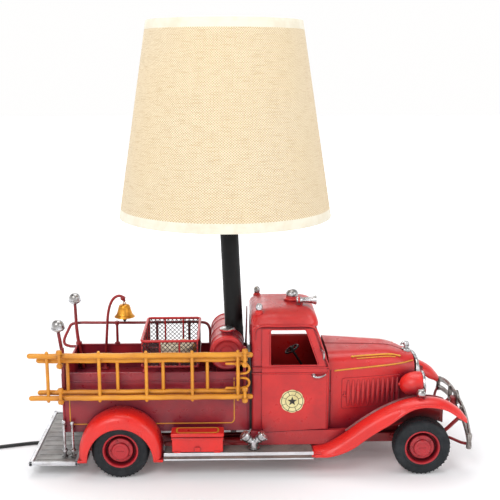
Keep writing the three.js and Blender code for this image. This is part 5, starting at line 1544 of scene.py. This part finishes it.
def make_roof_gear():
    top = 157.2
    base = lathe("beacon_base", [(8.5, top - 1.4), (8.6, top + 0.9), (7.4, top + 1.9), (6.4, top + 2.4),
        (6.0, top + 4.0)], (42, 0, 0), steps=40)
    paint(RED, base)
    dome = lathe("beacon_dome", [(6.0, top + 3.8), (6.2, top + 4.4), (6.1, top + 6.6), (5.4, top + 8.4),
        (4.0, top + 9.7), (2.0, top + 10.4), (0.1, top + 10.5)], (42, 0, 0), steps=40, sharp=60)
    paint(CHROME, dome)
    unite("beacon_chrome", [base, dome], None, "chrome", "roof_beacon")
    at = (54, -16, 160.6)
    horn = lathe("siren_horn", [(0.1, -9.2), (2.0, -9.0), (3.2, -8.2), (3.6, -6.4), (3.2, -4.4), (2.5, -3),
        (2.6, 0), (3.2, 4.5), (4.0, 8), (4.8, 10.4), (4.5, 10.8), (4.0, 10.2), (3.0, 6.8), (1.8, 3.4),
        (0.1, 3)], at, "X", 40)
    foot = wire("siren_foot", [(50, -16, 155), (50, -16, 157.4), (50.6, -16, 159.2)], 1.6, 4)
    paint(CHROME, horn)
    paint(RED, foot)
    collar = lathe("siren_band", [(3.5, -7.2), (4.0, -6.8), (4.0, -6.0), (3.4, -5.6)], at, "X", 36)
    paint(RED, collar)
    unite("siren_chrome", [horn, foot, collar], None, "chrome", "siren")


def make_inside():
    cushion = block("seat_base", (9, -39.6, 38.6), (34, 39.6, 59.4), 3, 4)
    back = block("seat_back", (5, -39.6, 50), (12, 39.6, 90), 2.4, 4)
    rolls = [tube("seat_roll", [(x, y, 59.6) for y in (-37, -12, 12, 37)], 1.5, 8) for x in (13, 18, 23, 28, 32)]
    unite("seat_painted", [cushion, back, *rolls], SEAT, "seat_paint", "seat")
    centre = Vector((44, 22, 98))
    axis = Vector((-0.52, 0, 0.85)).normalized()
    u = Vector((0, 1, 0))
    v = axis.cross(u)
    ring = [centre + (u * cos(a) + v * sin(a)) * 7.4 for a in round_angles(40)]
    parts = [tube("wheel_ring", ring, 0.95, 10, closed=True)]
    for k in range(3):
        a = tau * k / 3 + pi / 2
        parts.append(tube("spoke", [centre, centre + (u * cos(a) + v * sin(a)) * 7.2], 0.7, 8))
    parts.append(tube("hub", [centre + axis * 1.4, centre, centre - axis * 2], 2.2, 14))
    parts.append(tube("column", [centre - axis * 1, centre - axis * 18, Vector((68, 22, 60))], 1.3, 10))
    unite("steering_wheel_black", parts, BLACK_PAINT, "black_paint", "steering_wheel")


def make_chassis():
    parts = []
    for s in (-1, 1):
        y0, y1 = (s * 20, s * 26) if s > 0 else (s * 26, s * 20)
        parts.append(block("rail", (-168, y0, 15.5), (186, y1, 25), 0.6))
        parts.append(wire("spring_front", [(140, s * 33, 25), (150, s * 33, 21), (163, s * 33, 20),
            (176, s * 33, 21), (186, s * 33, 25)], 1.9, 4))
        parts.append(wire("spring_rear", [(-155, s * 33, 27), (-140, s * 33, 22.4), (-125, s * 33, 21),
            (-108, s * 33, 22.4), (-94, s * 33, 27)], 1.9, 4))
    for low, high in (((12, -46, 30), (72, 46, 37.6)), ((95, -20, 20), (150, 20, 66)),
            ((20, -20, 20), (30, 20, 32)), ((-150, -22, 22), (-138, 22, 70)), ((-70, -22, 22), (-58, 22, 70)),
            ((-166, -22, 16), (-160, 22, 25)), ((-70, -56, 15.5), (-64, 56, 17.2)),
            ((-20, -56, 15.5), (-14, 56, 17.2)), ((45, -56, 15.5), (51, 56, 17.2))):
        parts.append(block("member", low, high, 0.6))
    parts.append(tube("drive_shaft", [(-116, 0, 27.3), (-40, 0, 27), (20, 0, 27)], 3, 14))
    parts.append(lathe("differential", [(0.1, -8), (6, -6), (8.6, 0), (6, 6), (0.1, 8)], (-124, 0, 27.3), "Y", 32, 60))
    parts.append(wire("exhaust", [(100, -16, 20), (60, -33, 20), (0, -33, 19.6), (-60, -33, 20),
        (-84, -36, 20)], 2.4, 4))
    parts.append(lathe("silencer", [(0.1, -18), (4, -17), (5, -15), (5, 15), (4, 17), (0.1, 18)],
        (-20, -33, 19.8), "X", 28))
    unite("chassis_red", parts, DARK_RED, "dark_red_paint", "chassis")


make_ladders()
make_basket()
make_rail_and_lights()
make_bell()
make_tank()
make_running_board_load()
make_roof_gear()
make_inside()
make_chassis()

# ---- materials of the nodes that stay ---------------------------------------------------------
for node_name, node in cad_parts.items():
    node.data.materials.clear()
    node.data.materials.append(LAMP_BRASS if node_name == "pole_nut" else BLACK_PAINT)
